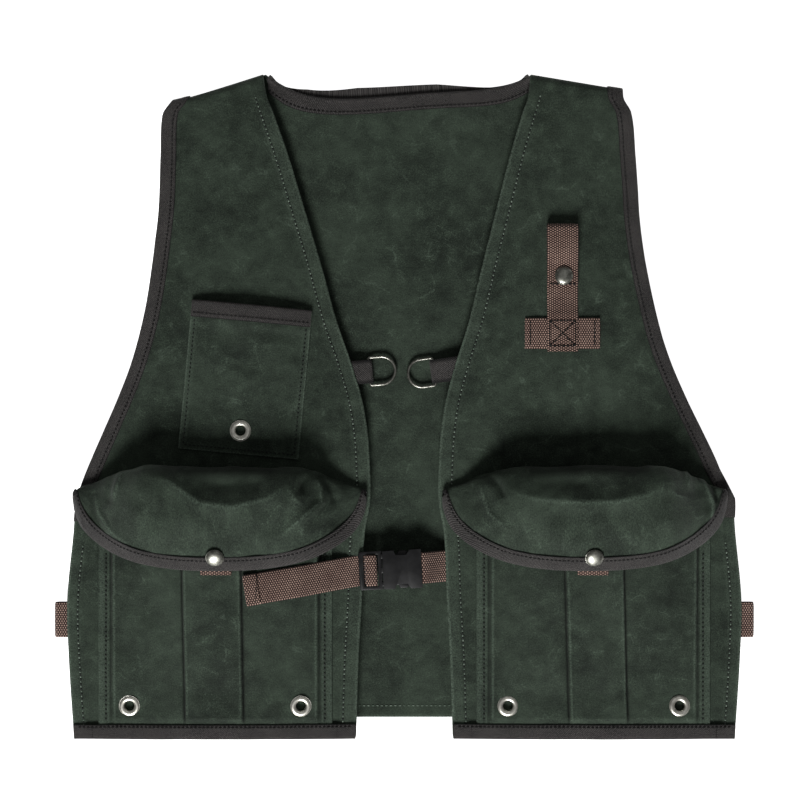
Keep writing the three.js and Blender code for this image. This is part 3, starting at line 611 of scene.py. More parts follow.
@dataclass(frozen=True)
class Stitch:
    """A row of machine stitches, each a small rounded thread that sinks into the cloth at its ends.

    Attributes:
        pitch: from one to the next.
        length: of the part that shows.
        width: of the thread.
    """

    pitch: float = 3.0
    length: float = 2.1
    width: float = 0.75

    def row(self, path: Array, normals: Array, lift: float = 0.0, phase: float = 0.5) -> Meshed:
        """Lays stitches along a path.

        Args:
            path: points on the cloth's face.
            normals: the face's normals there.
            lift: how far the thread stands above the face.
            phase: where the first stitch lies, as a share of the pitch.

        Returns:
            All the stitches as one mesh.
        """
        run = run_lengths(path)
        count = max(1, int(run[-1] / self.pitch))
        at = (np.arange(count) + phase) * run[-1] / count
        centre = sampled(path, run, at)
        normal = unit(sampled(normals, run, at))
        tangent = unit(sampled(path, run, at + 0.5) - sampled(path, run, at - 0.5))
        side = np.cross(normal, tangent)
        angle = np.linspace(0, TAU, STITCH_SIDES, endpoint=False)
        parts = []
        for along, thick, drop in STITCH_SECTIONS:
            middle = centre + tangent * along * self.length + normal * (lift + drop * self.width)
            reach = (np.cos(angle) * thick * self.width / 2)[None, :, None]
            rise = (np.sin(angle) * thick * self.width / 2)[None, :, None]
            parts.append(middle[:, None] + side[:, None] * reach + normal[:, None] * rise)
        rings = np.stack(parts, axis=1)
        sections = len(STITCH_SECTIONS)
        size = sections * STITCH_SIDES
        one = grid_quads(sections, STITCH_SIDES, loop=True)
        quads = (one[None] + (np.arange(count) * size)[:, None, None]).reshape(-1, 4)
        first = list(range(STITCH_SIDES))[::-1]
        last = list(range(size - STITCH_SIDES, size))
        caps = [[k + n * size for k in cap] for n in range(count) for cap in (first, last)]
        points = rings.reshape(-1, 3)
        return Meshed(points, quads, points.copy(), caps).outward()


TAPE_STITCH = Stitch(3.4, 2.6, 1.4)
WEBBING_STITCH = Stitch(2.6, 2.5, 1.2)
TAPE_LIFT, POCKET_LIFT, WEBBING_LIFT = 0.15, 0.12, 0.3


class Value:
    """A number, colour or vector that shader nodes work out."""

    def __init__(self, nodes: "Nodes", socket: bpy.types.NodeSocket) -> None:
        """Keeps the node tree and the socket that carries the value."""
        self.nodes = nodes
        self.socket = socket

    def __add__(self, other: "Value | float") -> "Value":
        """This plus other."""
        return self.nodes.maths("ADD", self, other)

    def __radd__(self, other: float) -> "Value":
        """Other plus this."""
        return self.nodes.maths("ADD", other, self)

    def __sub__(self, other: "Value | float") -> "Value":
        """This less other."""
        return self.nodes.maths("SUBTRACT", self, other)

    def __rsub__(self, other: float) -> "Value":
        """Other less this."""
        return self.nodes.maths("SUBTRACT", other, self)

    def __mul__(self, other: "Value | float") -> "Value":
        """This times other."""
        return self.nodes.maths("MULTIPLY", self, other)

    def __rmul__(self, other: float) -> "Value":
        """Other times this."""
        return self.nodes.maths("MULTIPLY", other, self)

    def __abs__(self) -> "Value":
        """This without its sign."""
        return self.nodes.maths("ABSOLUTE", self)

    def sine(self) -> "Value":
        """The sine of this, in radians."""
        return self.nodes.maths("SINE", self)

    def rise(self, low: float, high: float) -> "Value":
        """Rises softly from 0 at low to 1 at high."""
        settings = {"interpolation_type": "SMOOTHSTEP"}
        return self.nodes.add("ShaderNodeMapRange", settings, {0: self, 1: low, 2: high}, "Result")


class Nodes:
    """Builds the nodes of one material."""

    def __init__(self, name: str) -> None:
        """Starts a material with an empty node tree.

        Args:
            name: the material's name.
        """
        self.material = bpy.data.materials.new(name)
        self.material.use_nodes = True
        self.tree = self.material.node_tree
        self.tree.nodes.clear()

    def add(self, kind: str, settings: dict, inputs: dict, output: str | int = 0) -> Value:
        """Adds one node.

        Args:
            kind: the node's type.
            settings: its options, set first.
            inputs: values or links for its sockets, by name or number.
            output: which output to hand back.

        Returns:
            The output as a value.
        """
        node = self.tree.nodes.new(kind)
        for key, value in settings.items():
            setattr(node, key, value)
        for key, value in inputs.items():
            if isinstance(value, Value):
                self.tree.links.new(value.socket, node.inputs[key])
            else:
                node.inputs[key].default_value = value
        return Value(self, node.outputs[output])

    def maths(self, operation: str, *values: "Value | float") -> Value:
        """One Math node on one or two values."""
        return self.add("ShaderNodeMath", {"operation": operation}, dict(enumerate(values)))

    def mix(self, share: "Value | float", first: "Value | tuple", last: "Value | tuple") -> Value:
        """Mixes two colours by share."""
        inputs = {"Factor": share, 6: colour(first), 7: colour(last)}
        return self.add("ShaderNodeMix", {"data_type": "RGBA"}, inputs, 2)

    def noise(self, place: Value, scale: float, detail: float = 3, rough: float = 0.55,
              twist: float = 0.0) -> Value:
        """Cloudy noise at a scale, in waves a millimetre."""
        inputs = {"Scale": scale, "Detail": detail, "Roughness": rough, "Distortion": twist}
        return self.add("ShaderNodeTexNoise", {}, {"Vector": place, **inputs}, "Fac")

    def lines(self, place: Value, scale: float, width: float, twist: float) -> Value:
        """Thin wandering lines, as wax shows where it has been folded."""
        field_ = self.noise(place, scale, 2, 0.5, twist)
        return 1 - abs(field_ - 0.5).rise(0.0, width)

    def cloth(self) -> tuple[Value, Value, Value, Value]:
        """Reads the place on the cloth.

        Returns:
            The place along and across, how worn the cloth is with seam grime and painted shade below 0, and
            the place as a vector.
        """
        place = self.add("ShaderNodeAttribute", {"attribute_name": "cloth"}, {}, "Vector")
        node = self.add("ShaderNodeSeparateXYZ", {}, {0: place}).socket.node
        u, v, wear_and_shade = (Value(self, node.outputs[k]) for k in range(3))
        return u, v, wear_and_shade, self.add("ShaderNodeCombineXYZ", {}, {0: u, 1: v})

    def place(self) -> Value:
        """The place in the piece's own frame, in metres."""
        return self.add("ShaderNodeTexCoord", {}, {}, "Object")

    def bumps(self, *layers: tuple[Value, float]) -> Value:
        """A normal from several heights, each with its depth in millimetres.

        Args:
            layers: pairs of a height from 0 to 1 and its depth.

        Returns:
            The bent normal.
        """
        normal = None
        for height, depth in layers:
            inputs = {"Height": height, "Distance": depth * METRES, "Strength": 1.0}
            if normal is not None:
                inputs["Normal"] = normal
            normal = self.add("ShaderNodeBump", {}, inputs)
        return normal

    def finish(self, inputs: dict) -> bpy.types.Material:
        """Ends the material in a Principled shader with these inputs.

        Args:
            inputs: values or links for the shader's sockets, by name.

        Returns:
            The material.
        """
        shader = self.add("ShaderNodeBsdfPrincipled", {}, inputs)
        end = self.tree.nodes.new("ShaderNodeOutputMaterial")
        self.tree.links.new(shader.socket, end.inputs["Surface"])
        return self.material


def colour(value: "Value | Sequence[float]") -> "Value | tuple":
    """A colour given as 0-255 screen values, as the shader wants it.

    Args:
        value: three screen values, or a colour that nodes work out.

    Returns:
        The colour in linear light, or the nodes' colour as it is.
    """
    if isinstance(value, Value):
        return value
    shares = [v / 255 for v in value]
    linear = [s / 12.92 if s <= 0.04045 else ((s + 0.055) / 1.055) ** 2.4 for s in shares]
    return (*linear, 1.0)


@dataclass(frozen=True)
class WaxedCanvas:
    """Dark green waxed canvas: cloudy, with pale scuffs, a fine plain weave, and seam grime and painted
    shade where the third cloth value is below 0.
    """

    deep: Rgb = (17, 24, 18)
    middle: Rgb = (48, 58, 48)
    pale: Rgb = (76, 90, 76)
    scuff: Rgb = (92, 106, 93)
    # Darker colour for a third cloth value below 0: partly seam grime, partly painted shade.
    seam: Rgb = (12, 16, 12)
    thread: float = 0.75

    def build(self) -> bpy.types.Material:
        """Makes the material."""
        n = Nodes("waxed_canvas")
        u, v, wear_and_shade, flat = n.cloth()
        cloud = n.noise(flat, 0.016, 5, 0.6, 0.4)
        blotch = n.noise(flat, 0.07, 5, 0.65, 0.3)
        fleck = n.noise(flat, 0.75, 3, 0.7)
        grit = n.noise(flat, 1.5, 2, 0.6)
        tone = (cloud * 0.7 + blotch * 0.6 + fleck * 0.7 + grit * 0.6).rise(1.0, 1.5)
        base = n.mix(tone, self.deep, self.middle)
        bright = (blotch * 0.6 + fleck * 0.6 + grit * 0.5).rise(0.9, 1.2)
        base = n.mix(bright * 0.7, base, self.pale)
        marks = n.lines(flat, 0.022, 0.012, 0.9) * blotch.rise(0.42, 0.66) * fleck.rise(0.3, 0.62)
        base = n.mix(marks * 0.32, base, self.scuff)
        base = n.mix(wear_and_shade.rise(0.0, 1.0) * fleck.rise(0.28, 0.66) * 0.6, base, self.scuff)
        # Darker where the third cloth value is below 0: partly seam grime, partly painted shade in stitch
        # grooves, beside pocket folds and on the flap's crown.
        base = n.mix((0 - wear_and_shade).rise(0.0, 1.0) * 0.75, base, self.seam)
        warp = (u * (TAU / self.thread)).sine()
        weft = (v * (TAU / self.thread)).sine()
        weave = warp * weft * 0.5 + 0.5
        rough = 0.68 + fleck * 0.2 + blotch * 0.12
        normal = n.bumps((weave, 0.09), (n.noise(flat, 0.22, 4, 0.6), 0.5), (fleck, 0.16))
        return n.finish({
            "Base Color": base, "Roughness": rough, "Normal": normal, "Specular IOR Level": 0.2,
            "Sheen Weight": 0.02, "Sheen Roughness": 0.5,
        })


@dataclass(frozen=True)
class TwillTape:
    """Dark brown-grey binding tape with a fine diagonal rib, and a painted shadow line along its inner
    borders.
    """

    deep: Rgb = (15, 14, 14)
    middle: Rgb = (50, 47, 46)
    pale: Rgb = (92, 90, 88)
    shade: Rgb = (7, 6, 6)
    rib: float = 1.9

    def build(self) -> bpy.types.Material:
        """Makes the material."""
        n = Nodes("twill_tape")
        u, v, border, flat = n.cloth()
        rib = ((u + v) * (TAU / self.rib)).sine() * 0.5 + 0.5
        fleck = n.noise(flat, 0.9, 3, 0.7)
        patch = n.noise(flat, 0.05, 4, 0.6)
        base = n.mix((patch * 0.6 + fleck * 0.9).rise(0.5, 1.0), self.deep, self.middle)
        base = n.mix(rib * fleck.rise(0.35, 0.65) * 0.6, base, self.pale)
        # Painted shadow: the shade colour darkens the tape's inner borders, where the tape stands over the
        # cloth.
        base = n.mix(border.rise(0.6, 0.9) * 0.9, base, self.shade)
        normal = n.bumps((rib, 0.3), (fleck, 0.16), (n.noise(flat, 0.12, 3, 0.5), 0.7))
        return n.finish({
            "Base Color": base, "Roughness": 0.8 + fleck * 0.15, "Normal": normal,
            "Specular IOR Level": 0.25, "Sheen Weight": 0.08, "Sheen Roughness": 0.5,
        })


@dataclass(frozen=True)
class CottonWebbing:
    """Brown cotton webbing: a coarse weave of light ribs over dark gaps."""

    deep: Rgb = (14, 7, 6)
    middle: Rgb = (98, 72, 64)
    pale: Rgb = (176, 150, 136)
    rib: float = 1.8
    pick: float = 2.0

    def build(self) -> bpy.types.Material:
        """Makes the material."""
        n = Nodes("cotton_webbing")
        u, v, _, flat = n.cloth()
        half_rib = (v * (math.pi / self.rib)).sine()
        rib = abs(half_rib)
        pick = abs((u * (math.pi / self.pick) + half_rib.rise(-0.05, 0.05) * (math.pi / 2)).sine())
        weave = (rib * 0.6 + 0.4) * pick
        fuzz = n.noise(flat, 1.3, 3, 0.7)
        patch = n.noise(flat, 0.06, 3, 0.6)
        base = n.mix((weave * 0.85 + fuzz * 0.3).rise(0.38, 0.72), self.deep, self.middle)
        base = n.mix((weave * 0.8 + patch * 0.4).rise(0.68, 1.0) * 0.9, base, self.pale)
        normal = n.bumps((weave, 0.6), (fuzz, 0.12))
        return n.finish({
            "Base Color": base, "Roughness": 0.82 + fuzz * 0.12, "Normal": normal,
            "Specular IOR Level": 0.25, "Sheen Weight": 0.1, "Sheen Roughness": 0.5,
        })


@dataclass(frozen=True)
class NickelPlate:
    """Polished nickel with faint handling marks."""

    name: str = "nickel_plate"
    bright: Rgb = (150, 150, 142)
    dull: Rgb = (100, 100, 93)

    def build(self) -> bpy.types.Material:
        """Makes the material."""
        n = Nodes(self.name)
        place = n.place()
        film = n.noise(place, 320, 4, 0.6)
        rub = n.noise(place, 1900, 3, 0.7, 0.6)
        base = n.mix(film.rise(0.35, 0.7), self.bright, self.dull)
        rough = 0.26 + film * 0.14 + rub * 0.06
        return n.finish({
            "Base Color": base, "Metallic": 1.0, "Roughness": rough, "Normal": n.bumps((rub, 0.006)),
        })


@dataclass(frozen=True)
class MouldedPlastic:
    """Black moulded plastic with a fine spark-eroded skin."""

    deep: Rgb = (13, 13, 14)
    pale: Rgb = (24, 24, 25)

    def build(self) -> bpy.types.Material:
        """Makes the material."""
        n = Nodes("moulded_plastic")
        place = n.place()
        skin = n.noise(place, 2600, 3, 0.6)
        cloud = n.noise(place, 130, 3, 0.6)
        base = n.mix(cloud.rise(0.3, 0.75), self.deep, self.pale)
        return n.finish({
            "Base Color": base, "Roughness": 0.36 + cloud * 0.16, "Normal": n.bumps((skin, 0.02)),
            "Specular IOR Level": 0.3,
        })


@dataclass(frozen=True)
class Thread:
    """Sewing thread in one colour, a little uneven."""

    name: str
    dark: Rgb
    light: Rgb

    def build(self) -> bpy.types.Material:
        """Makes the material."""
        n = Nodes(self.name)
        place = n.place()
        patch = n.noise(place, 420, 3, 0.6)
        base = n.mix(patch.rise(0.35, 0.65), self.dark, self.light)
        return n.finish({"Base Color": base, "Roughness": 0.7, "Specular IOR Level": 0.3})


class Finish(Enum):
    """The finishes that the vest's pieces are dressed in."""

    CANVAS = WaxedCanvas()
    TAPE = TwillTape()
    WEBBING = CottonWebbing()
    NICKEL = NickelPlate()
    POLISHED = NickelPlate("polished_nickel", (232, 230, 220), (190, 188, 178))
    PLASTIC = MouldedPlastic()
    SEAM_THREAD = Thread("seam_thread", (66, 80, 68), (112, 124, 112))
    SHADE_THREAD = Thread("shade_thread", (8, 12, 9), (24, 31, 25))
    TAPE_THREAD = Thread("tape_thread", (9, 8, 8), (22, 20, 19))

    def material(self) -> bpy.types.Material:
        """The finish's material, made once.

        Returns:
            The material.
        """
        made = bpy.data.materials.get(MADE.get(self, ""))
        if made is None:
            made = self.value.build()
            MADE[self] = made.name
        return made


MADE: dict[Finish, str] = {}


def add_object(name: str, data: bpy.types.ID) -> bpy.types.Object:
    """Makes an object and links it into the scene.

    Args:
        name: the object's name.
        data: its mesh, camera or light.

    Returns:
        The object.
    """
    made = bpy.data.objects.new(name, data)
    bpy.context.scene.collection.objects.link(made)
    return made


def make_piece(name: str, made: Meshed, finish: Finish, stands_for: Sequence[str] = (),
               body: str = "vest", sharp: float = 50.0) -> bpy.types.Object:
    """Makes one piece of the scene.

    Args:
        name: the piece's name.
        made: its mesh, in millimetres.
        finish: what it is dressed in.
        stands_for: the CAD nodes it replaces.
        body: the CAD body it moves with.
        sharp: edges that bend more than this many degrees stay sharp.

    Returns:
        The new object.
    """
    row = (made.points + Y_WAY * CUT.row_shift) * METRES
    mesh = bpy.data.meshes.new(name)
    mesh.from_pydata(row.tolist(), [], made.quads.tolist() + made.caps)
    mesh.polygons.foreach_set("use_smooth", np.ones(len(mesh.polygons), bool))
    mesh.set_sharp_from_angle(angle=math.radians(sharp))
    layer = mesh.attributes.new("cloth", "FLOAT_VECTOR", "POINT")
    layer.data.foreach_set("vector", made.cloth.astype(np.float32).ravel())
    mesh.materials.append(finish.material())
    mesh.update()
    piece = add_object(name, mesh)
    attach(piece, body)
    if stands_for:
        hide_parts(*stands_for)
    log.info("%s: %d points", name, len(row))
    return piece


def webbing_piece(node: str, made: Meshed) -> None:
    """Makes the webbing that stands for one CAD node."""
    make_piece(f"{node}.webbing", made, Finish.WEBBING, [node])


class Side(Enum):
    """The wearer's two sides; the value is the sign of X."""

    RIGHT = -1
    LEFT = 1

    @property
    def label(self) -> str:
        """The side's word in piece names."""
        return self.name.lower()


@dataclass(frozen=True)
class SideCut:
    """What differs between the two sides as the vest lies.

    Attributes:
        shoulder_drop: how far the shoulder's outer end lies below its neck end.
        ring_bar: from the centre line to the D-ring's bar.
        ring_turn: how far the ring and its tab are turned, in degrees.
        trim_ups: shares of the length at which the trims are given.
        trim_side: how far the side edge lies beyond the common outline there.
    """

    shoulder_drop: float
    ring_bar: float
    ring_turn: float
    trim_ups: tuple[float, ...] = (0.0, 1.0)
    trim_side: tuple[float, ...] = (0.0, 0.0)


@dataclass(frozen=True)
class VestCut:
    """Outline, heights and soft relief of the vest's cloth. The lengths are those of the CAD part."""

    body_length: float = 547.0
    half_width: float = 276.5
    back_hem: float = 16.0
    back_inset: float = 5.0
    lean_at_top: float = 6.2
    lean_start: float = 0.433
    armhole_bottom: float = 0.33
    neck_drop: float = 17.0
    neck_tilt: float = 3.0
    cloth: float = 1.6
    bag_cloth: float = 1.4
    tape: float = 0.8
    webbing: float = 1.5
    gap: float = 0.3
    tape_gap: float = 0.4
    back_rise: float = 0.8
    back_edge_lift: float = 1.4
    front_rise: float = 11.2
    front_belly: float = 4.0
    shoulder_fold: float = 6.0
    neck_curl: float = 0.4
    neck_share: float = 0.401 / 0.672
    fold_from: float = 0.96
    right: SideCut = SideCut(
        22.0, 28.4, 5.0, (0.0, 0.34, 0.42, 0.5, 0.66, 0.75, 0.94, 0.965, 1.0),
        (0.0, 0.0, -1.4, -0.6, 0.0, 1.4, 0.0, -2.6, -4.0))
    left: SideCut = SideCut(
        12.5, 25.2, 8.0, (0.0, 0.33, 0.36, 0.373, 0.403, 0.5, 0.6, 0.72, 0.82, 0.94, 1.0),
        (0.0, 0.0, 2.4, 0.6, -2.4, -3.4, -4.4, -3.6, -1.2, -1.6, 1.4))
    ups: tuple[float, ...] = (
        0, 0.117, 0.207, 0.305, 0.358, 0.411, 0.462, 0.509,
        0.566, 0.629, 0.706, 0.789, 0.878, 0.941, 0.965, 1)
    centres: tuple[float, ...] = (
        0.146, 0.139, 0.129, 0.121, 0.104, 0.105, 0.112, 0.127,
        0.159, 0.2, 0.239, 0.284, 0.333, 0.373, 0.391, 0.401)
    sides: tuple[float, ...] = (
        0.984, 0.999, 1.004, 0.986, 0.976, 0.942, 0.897, 0.854,
        0.809, 0.773, 0.741, 0.716, 0.707, 0.699, 0.672, 0.672)
    swells: tuple[Ripples, ...] = (Ripples(11, 92, 0.55, 1.5), Ripples(12, 38, 0.2, 1.3))

    @property
    def row_shift(self) -> float:
        """How far the row's frame lies along Y from the vest's own."""
        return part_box("back_panel")[0].y * 1000 - self.back_hem

    def of(self, side: Side) -> SideCut:
        """The side's own sizes."""
        return self.right if side is Side.RIGHT else self.left

    def lean(self, up: Array) -> Array:
        """How far the vest leans to one side at a share of its length."""
        return -self.lean_at_top * np.maximum(0, (up - self.lean_start) / (1 - self.lean_start)) ** 1.5

    def centre(self, up: Array) -> Array:
        """From the centre line to the front panel's centre edge."""
        return self.half_width * curve_through(self.ups, self.centres, up)

    def edge(self, side: Side, up: Array) -> Array:
        """From the centre line to the side edge.

        Args:
            side: the panel's side.
            up: shares of the length.

        Returns:
            The distances.
        """
        own = self.of(side)
        trim = np.interp(up, own.trim_ups, own.trim_side)
        return self.half_width * curve_through(self.ups, self.sides, up) + trim

    def span(self, side: Side, up: Array) -> Array:
        """The front panel's width."""
        return self.edge(side, up) - self.centre(up)

    def rows_up(self, count: int) -> Array:
        """Shares of the way up for a panel's rows, with closer ones round the shoulder fold."""
        fold = np.linspace(self.fold_from, 1, 12)[1:]
        return np.concatenate([np.linspace(0, self.fold_from, count), fold])

    @property
    def seam_rise(self) -> float:
        """Height of the shoulder seam."""
        return (self.back_rise + self.front_rise) / 2

    def front_height(self, side: Side, x: Array, y: Array) -> Array:
        """Height of a front panel's middle surface at points of the plan.

        Args:
            side: the panel's side.
            x: places in the plan.
            y: the same along Y.

        Returns:
            The heights.
        """
        up = y / self.body_length
        share = (side.value * (x - self.lean(up)) - self.centre(up)) / self.span(side, up)
        inside = np.clip(share, -0.05, 1.05)
        belly = self.front_belly * np.sin(math.pi * inside) * (1 - smooth(0.68, 0.88, up))
        calm = smooth(-0.02, 0.16, share) * smooth(-0.02, 0.1, 1 - share)
        calm = calm * (1 - smooth(0.86, 0.96, up)) * smooth(0.0, 0.05, up)
        swell = sum(wave.at(x + 1000 * side.value, y) for wave in self.swells)
        return self.front_rise + belly + swell * calm

    def curl(self, share: Array, foot: float, top: Array, turn_at_top: Array) -> tuple[Array, Array]:
        """Follows the cloth up to the shoulder fold.

        Args:
            share: of the way up.
            foot: Y of the bottom edge.
            top: Y of the top edge.
            turn_at_top: how far the cloth has turned there, in radians.

        Returns:
            Y, and the share of the way from its own height to the seam's.
        """
        low = lerp(foot, top - self.shoulder_fold, share / self.fold_from)
        angle = turn_at_top * np.maximum(share - self.fold_from, 0) / (1 - self.fold_from)
        reach = self.shoulder_fold * np.sin(angle) / np.sin(turn_at_top)
        folded = share > self.fold_from
        y = np.where(folded, top - self.shoulder_fold + reach, low)
        return y, np.where(folded, 1 - np.cos(angle), 0)

    def front(self, side: Side) -> Surface:
        """The front panel's surface: a runs from the centre edge out, b from the hem up.

        Args:
            side: the panel's side.

        Returns:
            A function of a, from the centre edge, 0, to the side edge, 1, and b, from the hem up.
        """
        def surface(a: Array, b: Array) -> Array:
            """Points at (a, b)."""
            top = self.body_length - self.of(side).shoulder_drop * a
            y, turn = self.curl(b, 0, top, np.full(np.shape(top), math.pi / 2))
            up = y / self.body_length
            x = side.value * lerp(self.centre(up), self.edge(side, up), a) + self.lean(up)
            z = lerp(self.front_height(side, x, y), self.seam_rise + self.gap / 2, turn)
            return np.stack([x, y, z], axis=-1)
        return surface

    def back(self, a: Array, b: Array) -> Array:
        """The back panel's surface.

        Args:
            a: places from the right side, -1, to the left side, 1.
            b: places from the hem, 0, to the neckline and shoulders, 1.

        Returns:
            The points.
        """
        out = np.abs(a)
        along_neck = np.minimum(out / self.neck_share, 1)
        along_shoulder = np.maximum(out - self.neck_share, 0) / (1 - self.neck_share)
        drop = np.where(a < 0, self.right.shoulder_drop, self.left.shoulder_drop)
        top = self.body_length - drop * along_shoulder - self.neck_drop * (1 - along_neck ** 5)
        top = top + self.neck_tilt * np.sin(math.pi * np.clip(a / self.neck_share, -1, 1))
        turn_at_top = lerp(self.neck_curl, math.pi / 2, smooth(0.9, 1, along_neck))
        y, turn = self.curl(b, self.back_hem, top, turn_at_top)
        up = y / self.body_length
        inset = self.back_inset * (1 - smooth(self.armhole_bottom, self.armhole_bottom + 0.15, up))
        edge = np.where(a < 0, self.edge(Side.RIGHT, up), self.edge(Side.LEFT, up))
        x = a * (edge - inset) + self.lean(up)
        lift = np.maximum(smooth(0.8, 0.97, out), smooth(0.9, self.fold_from, b))
        flat = self.back_rise + self.back_edge_lift * lift
        return np.stack([x, y, lerp(flat, self.seam_rise - self.gap / 2, turn)], axis=-1)


CUT = VestCut()
STEP = 1e-4


def surface_frame(surface: Surface, a: Array, b: Array) -> tuple[Array, Array, Array, Array]:
    """Reads a surface with its directions.

    Args:
        surface: the surface.
        a: its first coordinate.
        b: its second.

    Returns:
        The points, the directions along a and along b, and the normals with Z up.
    """
    a, b = np.broadcast_arrays(np.asarray(a, float), np.asarray(b, float))
    along_a = unit(surface(a + STEP, b) - surface(a - STEP, b))
    along_b = unit(surface(a, b + STEP) - surface(a, b - STEP))
    normal = unit(np.cross(along_a, along_b))
    flip = 1.0 if normal[..., 2].mean() > 0 else -1.0
    return surface(a, b), along_a, along_b, normal * flip


def between(first: float, last: float, step: float) -> Array:
    """Even places from first to last, about a step apart."""
    return np.linspace(first, last, max(2, int(abs(last - first) / step) + 1))


def square_out(direction: Array, tangent: Array) -> Array:
    """The part of a direction that is square to a tangent."""
    return unit(direction - tangent * np.sum(direction * tangent, axis=-1, keepdims=True))


@dataclass(frozen=True)
class FrontPanel:
    """One front: its edges are folded in and stitched, and the cloth swells a little between."""

    side: Side
    fold: float = 12.5
    fold_rise: float = 1.05
    stitch_in: float = 10.8
    side_stitch_in: float = 8.6
    ring_up: float = 301.0
    ring_reach: float = 20.0
    ring_inward: float = 26.0
    ring_press: float = 0.35
    groove: float = 0.42
    pucker: float = 0.22
    rounding: float = 0.5
    edge_wear: float = 0.9
    fold_wear: float = 0.3
    # How much darker the stitch lines are: seam grime and painted shade in their grooves.
    seam_grime_and_shade: float = 0.55
    hem_width: float = 232.0
    flat_share: float = 0.92
    cloth_from: float = 40.0
    columns: int = 108
    rows: int = 236
    edge_steps: tuple[float, ...] = (
        0, 0.35, 0.8, 1.4, 2.2, 3.2, 4.4, 5.8, 7.2, 8.6, 10, 11.4, 12.6, 14, 15.6)

    def relief(self, a: Array, b: Array) -> Array:
        """Height of the upper face over the plain cloth: folded edges, their puckers and stitch lines.

        Args:
            a: places from the centre edge, 0, to the side edge, 1.
            b: places from the hem, 0, to the shoulder, 1.

        Returns:
            The extra heights.
        """
        width = CUT.span(self.side, b)
        along = b * CUT.body_length
        total = np.zeros(np.broadcast(a, b).shape)
        below = 1 - smooth(CUT.armhole_bottom - 0.02, CUT.armhole_bottom + 0.01, b)
        pucker = np.sin(along / 1.7 + 1.6 * np.sin(along / 17)) * (0.6 + 0.4 * np.sin(along / 31))
        edges = ((a * width, self.stitch_in, 1.0), ((1 - a) * width, self.side_stitch_in, below))
        for inside, stitch, share in edges:
            fold = self.fold_rise * (1 - smooth(stitch + 0.8, stitch + 2.8, inside))
            groove = -self.groove * bell(inside - stitch, 1.1)
            wave = self.pucker * pucker * bell(inside - stitch, 4.2)
            total += share * (fold + groove + wave - self.rounding * (1 - smooth(0, 1.2, inside)))
        return self.flattened(total, a * width, along)

    def flattened(self, relief: Array, inward: Array, along: Array) -> Array:
        """Presses the relief flat where the D-ring can fold back onto the panel.

        Args:
            relief: the extra heights.
            inward: distances from the centre edge.
            along: distances from the hem.

        Returns:
            The pressed heights.
        """
        near = (1 - smooth(self.ring_reach, self.ring_reach + 12, np.abs(along - self.ring_up)))
        near = near * (1 - smooth(self.ring_inward, self.ring_inward + 14, inward))
        return relief * (1 - near) - self.ring_press * near

    def seat(self, a: Array, b: Array) -> tuple[Array, Array]:
        """Reads the upper face.

        Args:
            a: places from the centre edge out.
            b: places from the hem up.

        Returns:
            Points on the face, and its normals there.
        """
        points, _, _, normals = surface_frame(CUT.front(self.side), a, b)
        lift = CUT.cloth / 2 + self.relief(a, b)
        return points + normals * lift[..., None], normals

    def build(self) -> None:
        """Makes the panel and its stitching."""
        edge = np.array(self.edge_steps) / self.hem_width
        inner = np.linspace(0.074, 0.926, self.columns - 2 * len(edge))
        a_line = np.concatenate([edge, inner, 1 - edge[::-1]])
        a, b = np.meshgrid(a_line, CUT.rows_up(self.rows))
        points = CUT.front(self.side)(a, b)
        fine = Ripples(21, 12, 0.1).at(points[..., 0], points[..., 1])
        ease = smooth(0.02, 0.1, a) * smooth(0.02, 0.1, 1 - a) * (1 - smooth(0.9, 0.96, b))
        relief = self.relief(a, b)
        relief = (relief + fine * ease * (relief > -0.3)) * (1 - smooth(0.95, 0.97, b))
        width = CUT.span(self.side, b)
        cloth_x = points[..., 0] + self.cloth_from * self.side.value
        cloth = np.stack([cloth_x, points[..., 1], self.wear_and_shade(a, b, width)], axis=-1)
        node = f"front_panel_{self.side.label}"
        panel = make_piece(f"{node}.cloth", shell(points, CUT.cloth, cloth, relief), Finish.CANVAS, [node])
        flat = (CUT.half_width * self.flat_share * METRES, (CUT.body_length + CUT.shoulder_fold) * METRES)
        area = float(np.trapz(width[:, 0], b[:, 0]) * CUT.body_length * SQUARE_METRES)
        self.stitch()

    def wear_and_shade(self, a: Array, b: Array, width: Array) -> Array:
        """How worn the cloth is: pale on its edges and folds, and darker along its stitch lines, partly
        seam grime and partly painted shade in their grooves.

        Args:
            a: places from the centre edge out.
            b: places from the hem up.
            width: the panel's width there.

        Returns:
            The wear, below 0 where the cloth is darker.
        """
        inward, outward = a * width, (1 - a) * width
        free, below = 1 - smooth(0.9, 0.95, b), b < CUT.armhole_bottom
        rub = self.edge_wear * bell(np.minimum(a, 1 - a) * width, 1.2) * free
        rub = rub + self.fold_wear * (1 - smooth(self.fold, self.fold + 2, inward)) * free
        rub = rub + self.fold_wear * (1 - smooth(self.fold - 2, self.fold, outward)) * below
        # Darker along the stitch lines: seam grime and painted shade in their grooves.
        rub = rub - self.seam_grime_and_shade * bell(inward - self.stitch_in, 1.0) * (1 - smooth(0.93, 0.95, b))
        return rub - self.seam_grime_and_shade * bell(outward - self.side_stitch_in, 1.0) * below

    def stitch(self) -> None:
        """Makes the thread along the folded edges, and dark thread between its stitches: painted shade in
        the needle holes.
        """
        rows, needle_shade = [], []
        lines = (
            (between(0.014, 0.945, 0.002), 0.0, self.stitch_in),
            (between(0.016, CUT.armhole_bottom - 0.035, 0.002), 1.0, -self.side_stitch_in),
        )
        for b, edge, inward in lines:
            points, normals = self.seat(edge + inward / CUT.span(self.side, b), b)
            rows.append(Stitch(3.9, 2.0, 1.15).row(points, normals, 0.2))
            # Painted shade: dark thread between the stitches stands in for the shade in the needle holes.
            needle_shade.append(Stitch(3.9, 2.2, 1.5).row(points, normals, 0.1, 0.0))
        make_piece(f"front_stitching_{self.side.label}", joined(rows), Finish.SEAM_THREAD)
        make_piece(f"front_stitching_{self.side.label}.bites", joined(needle_shade), Finish.SHADE_THREAD)


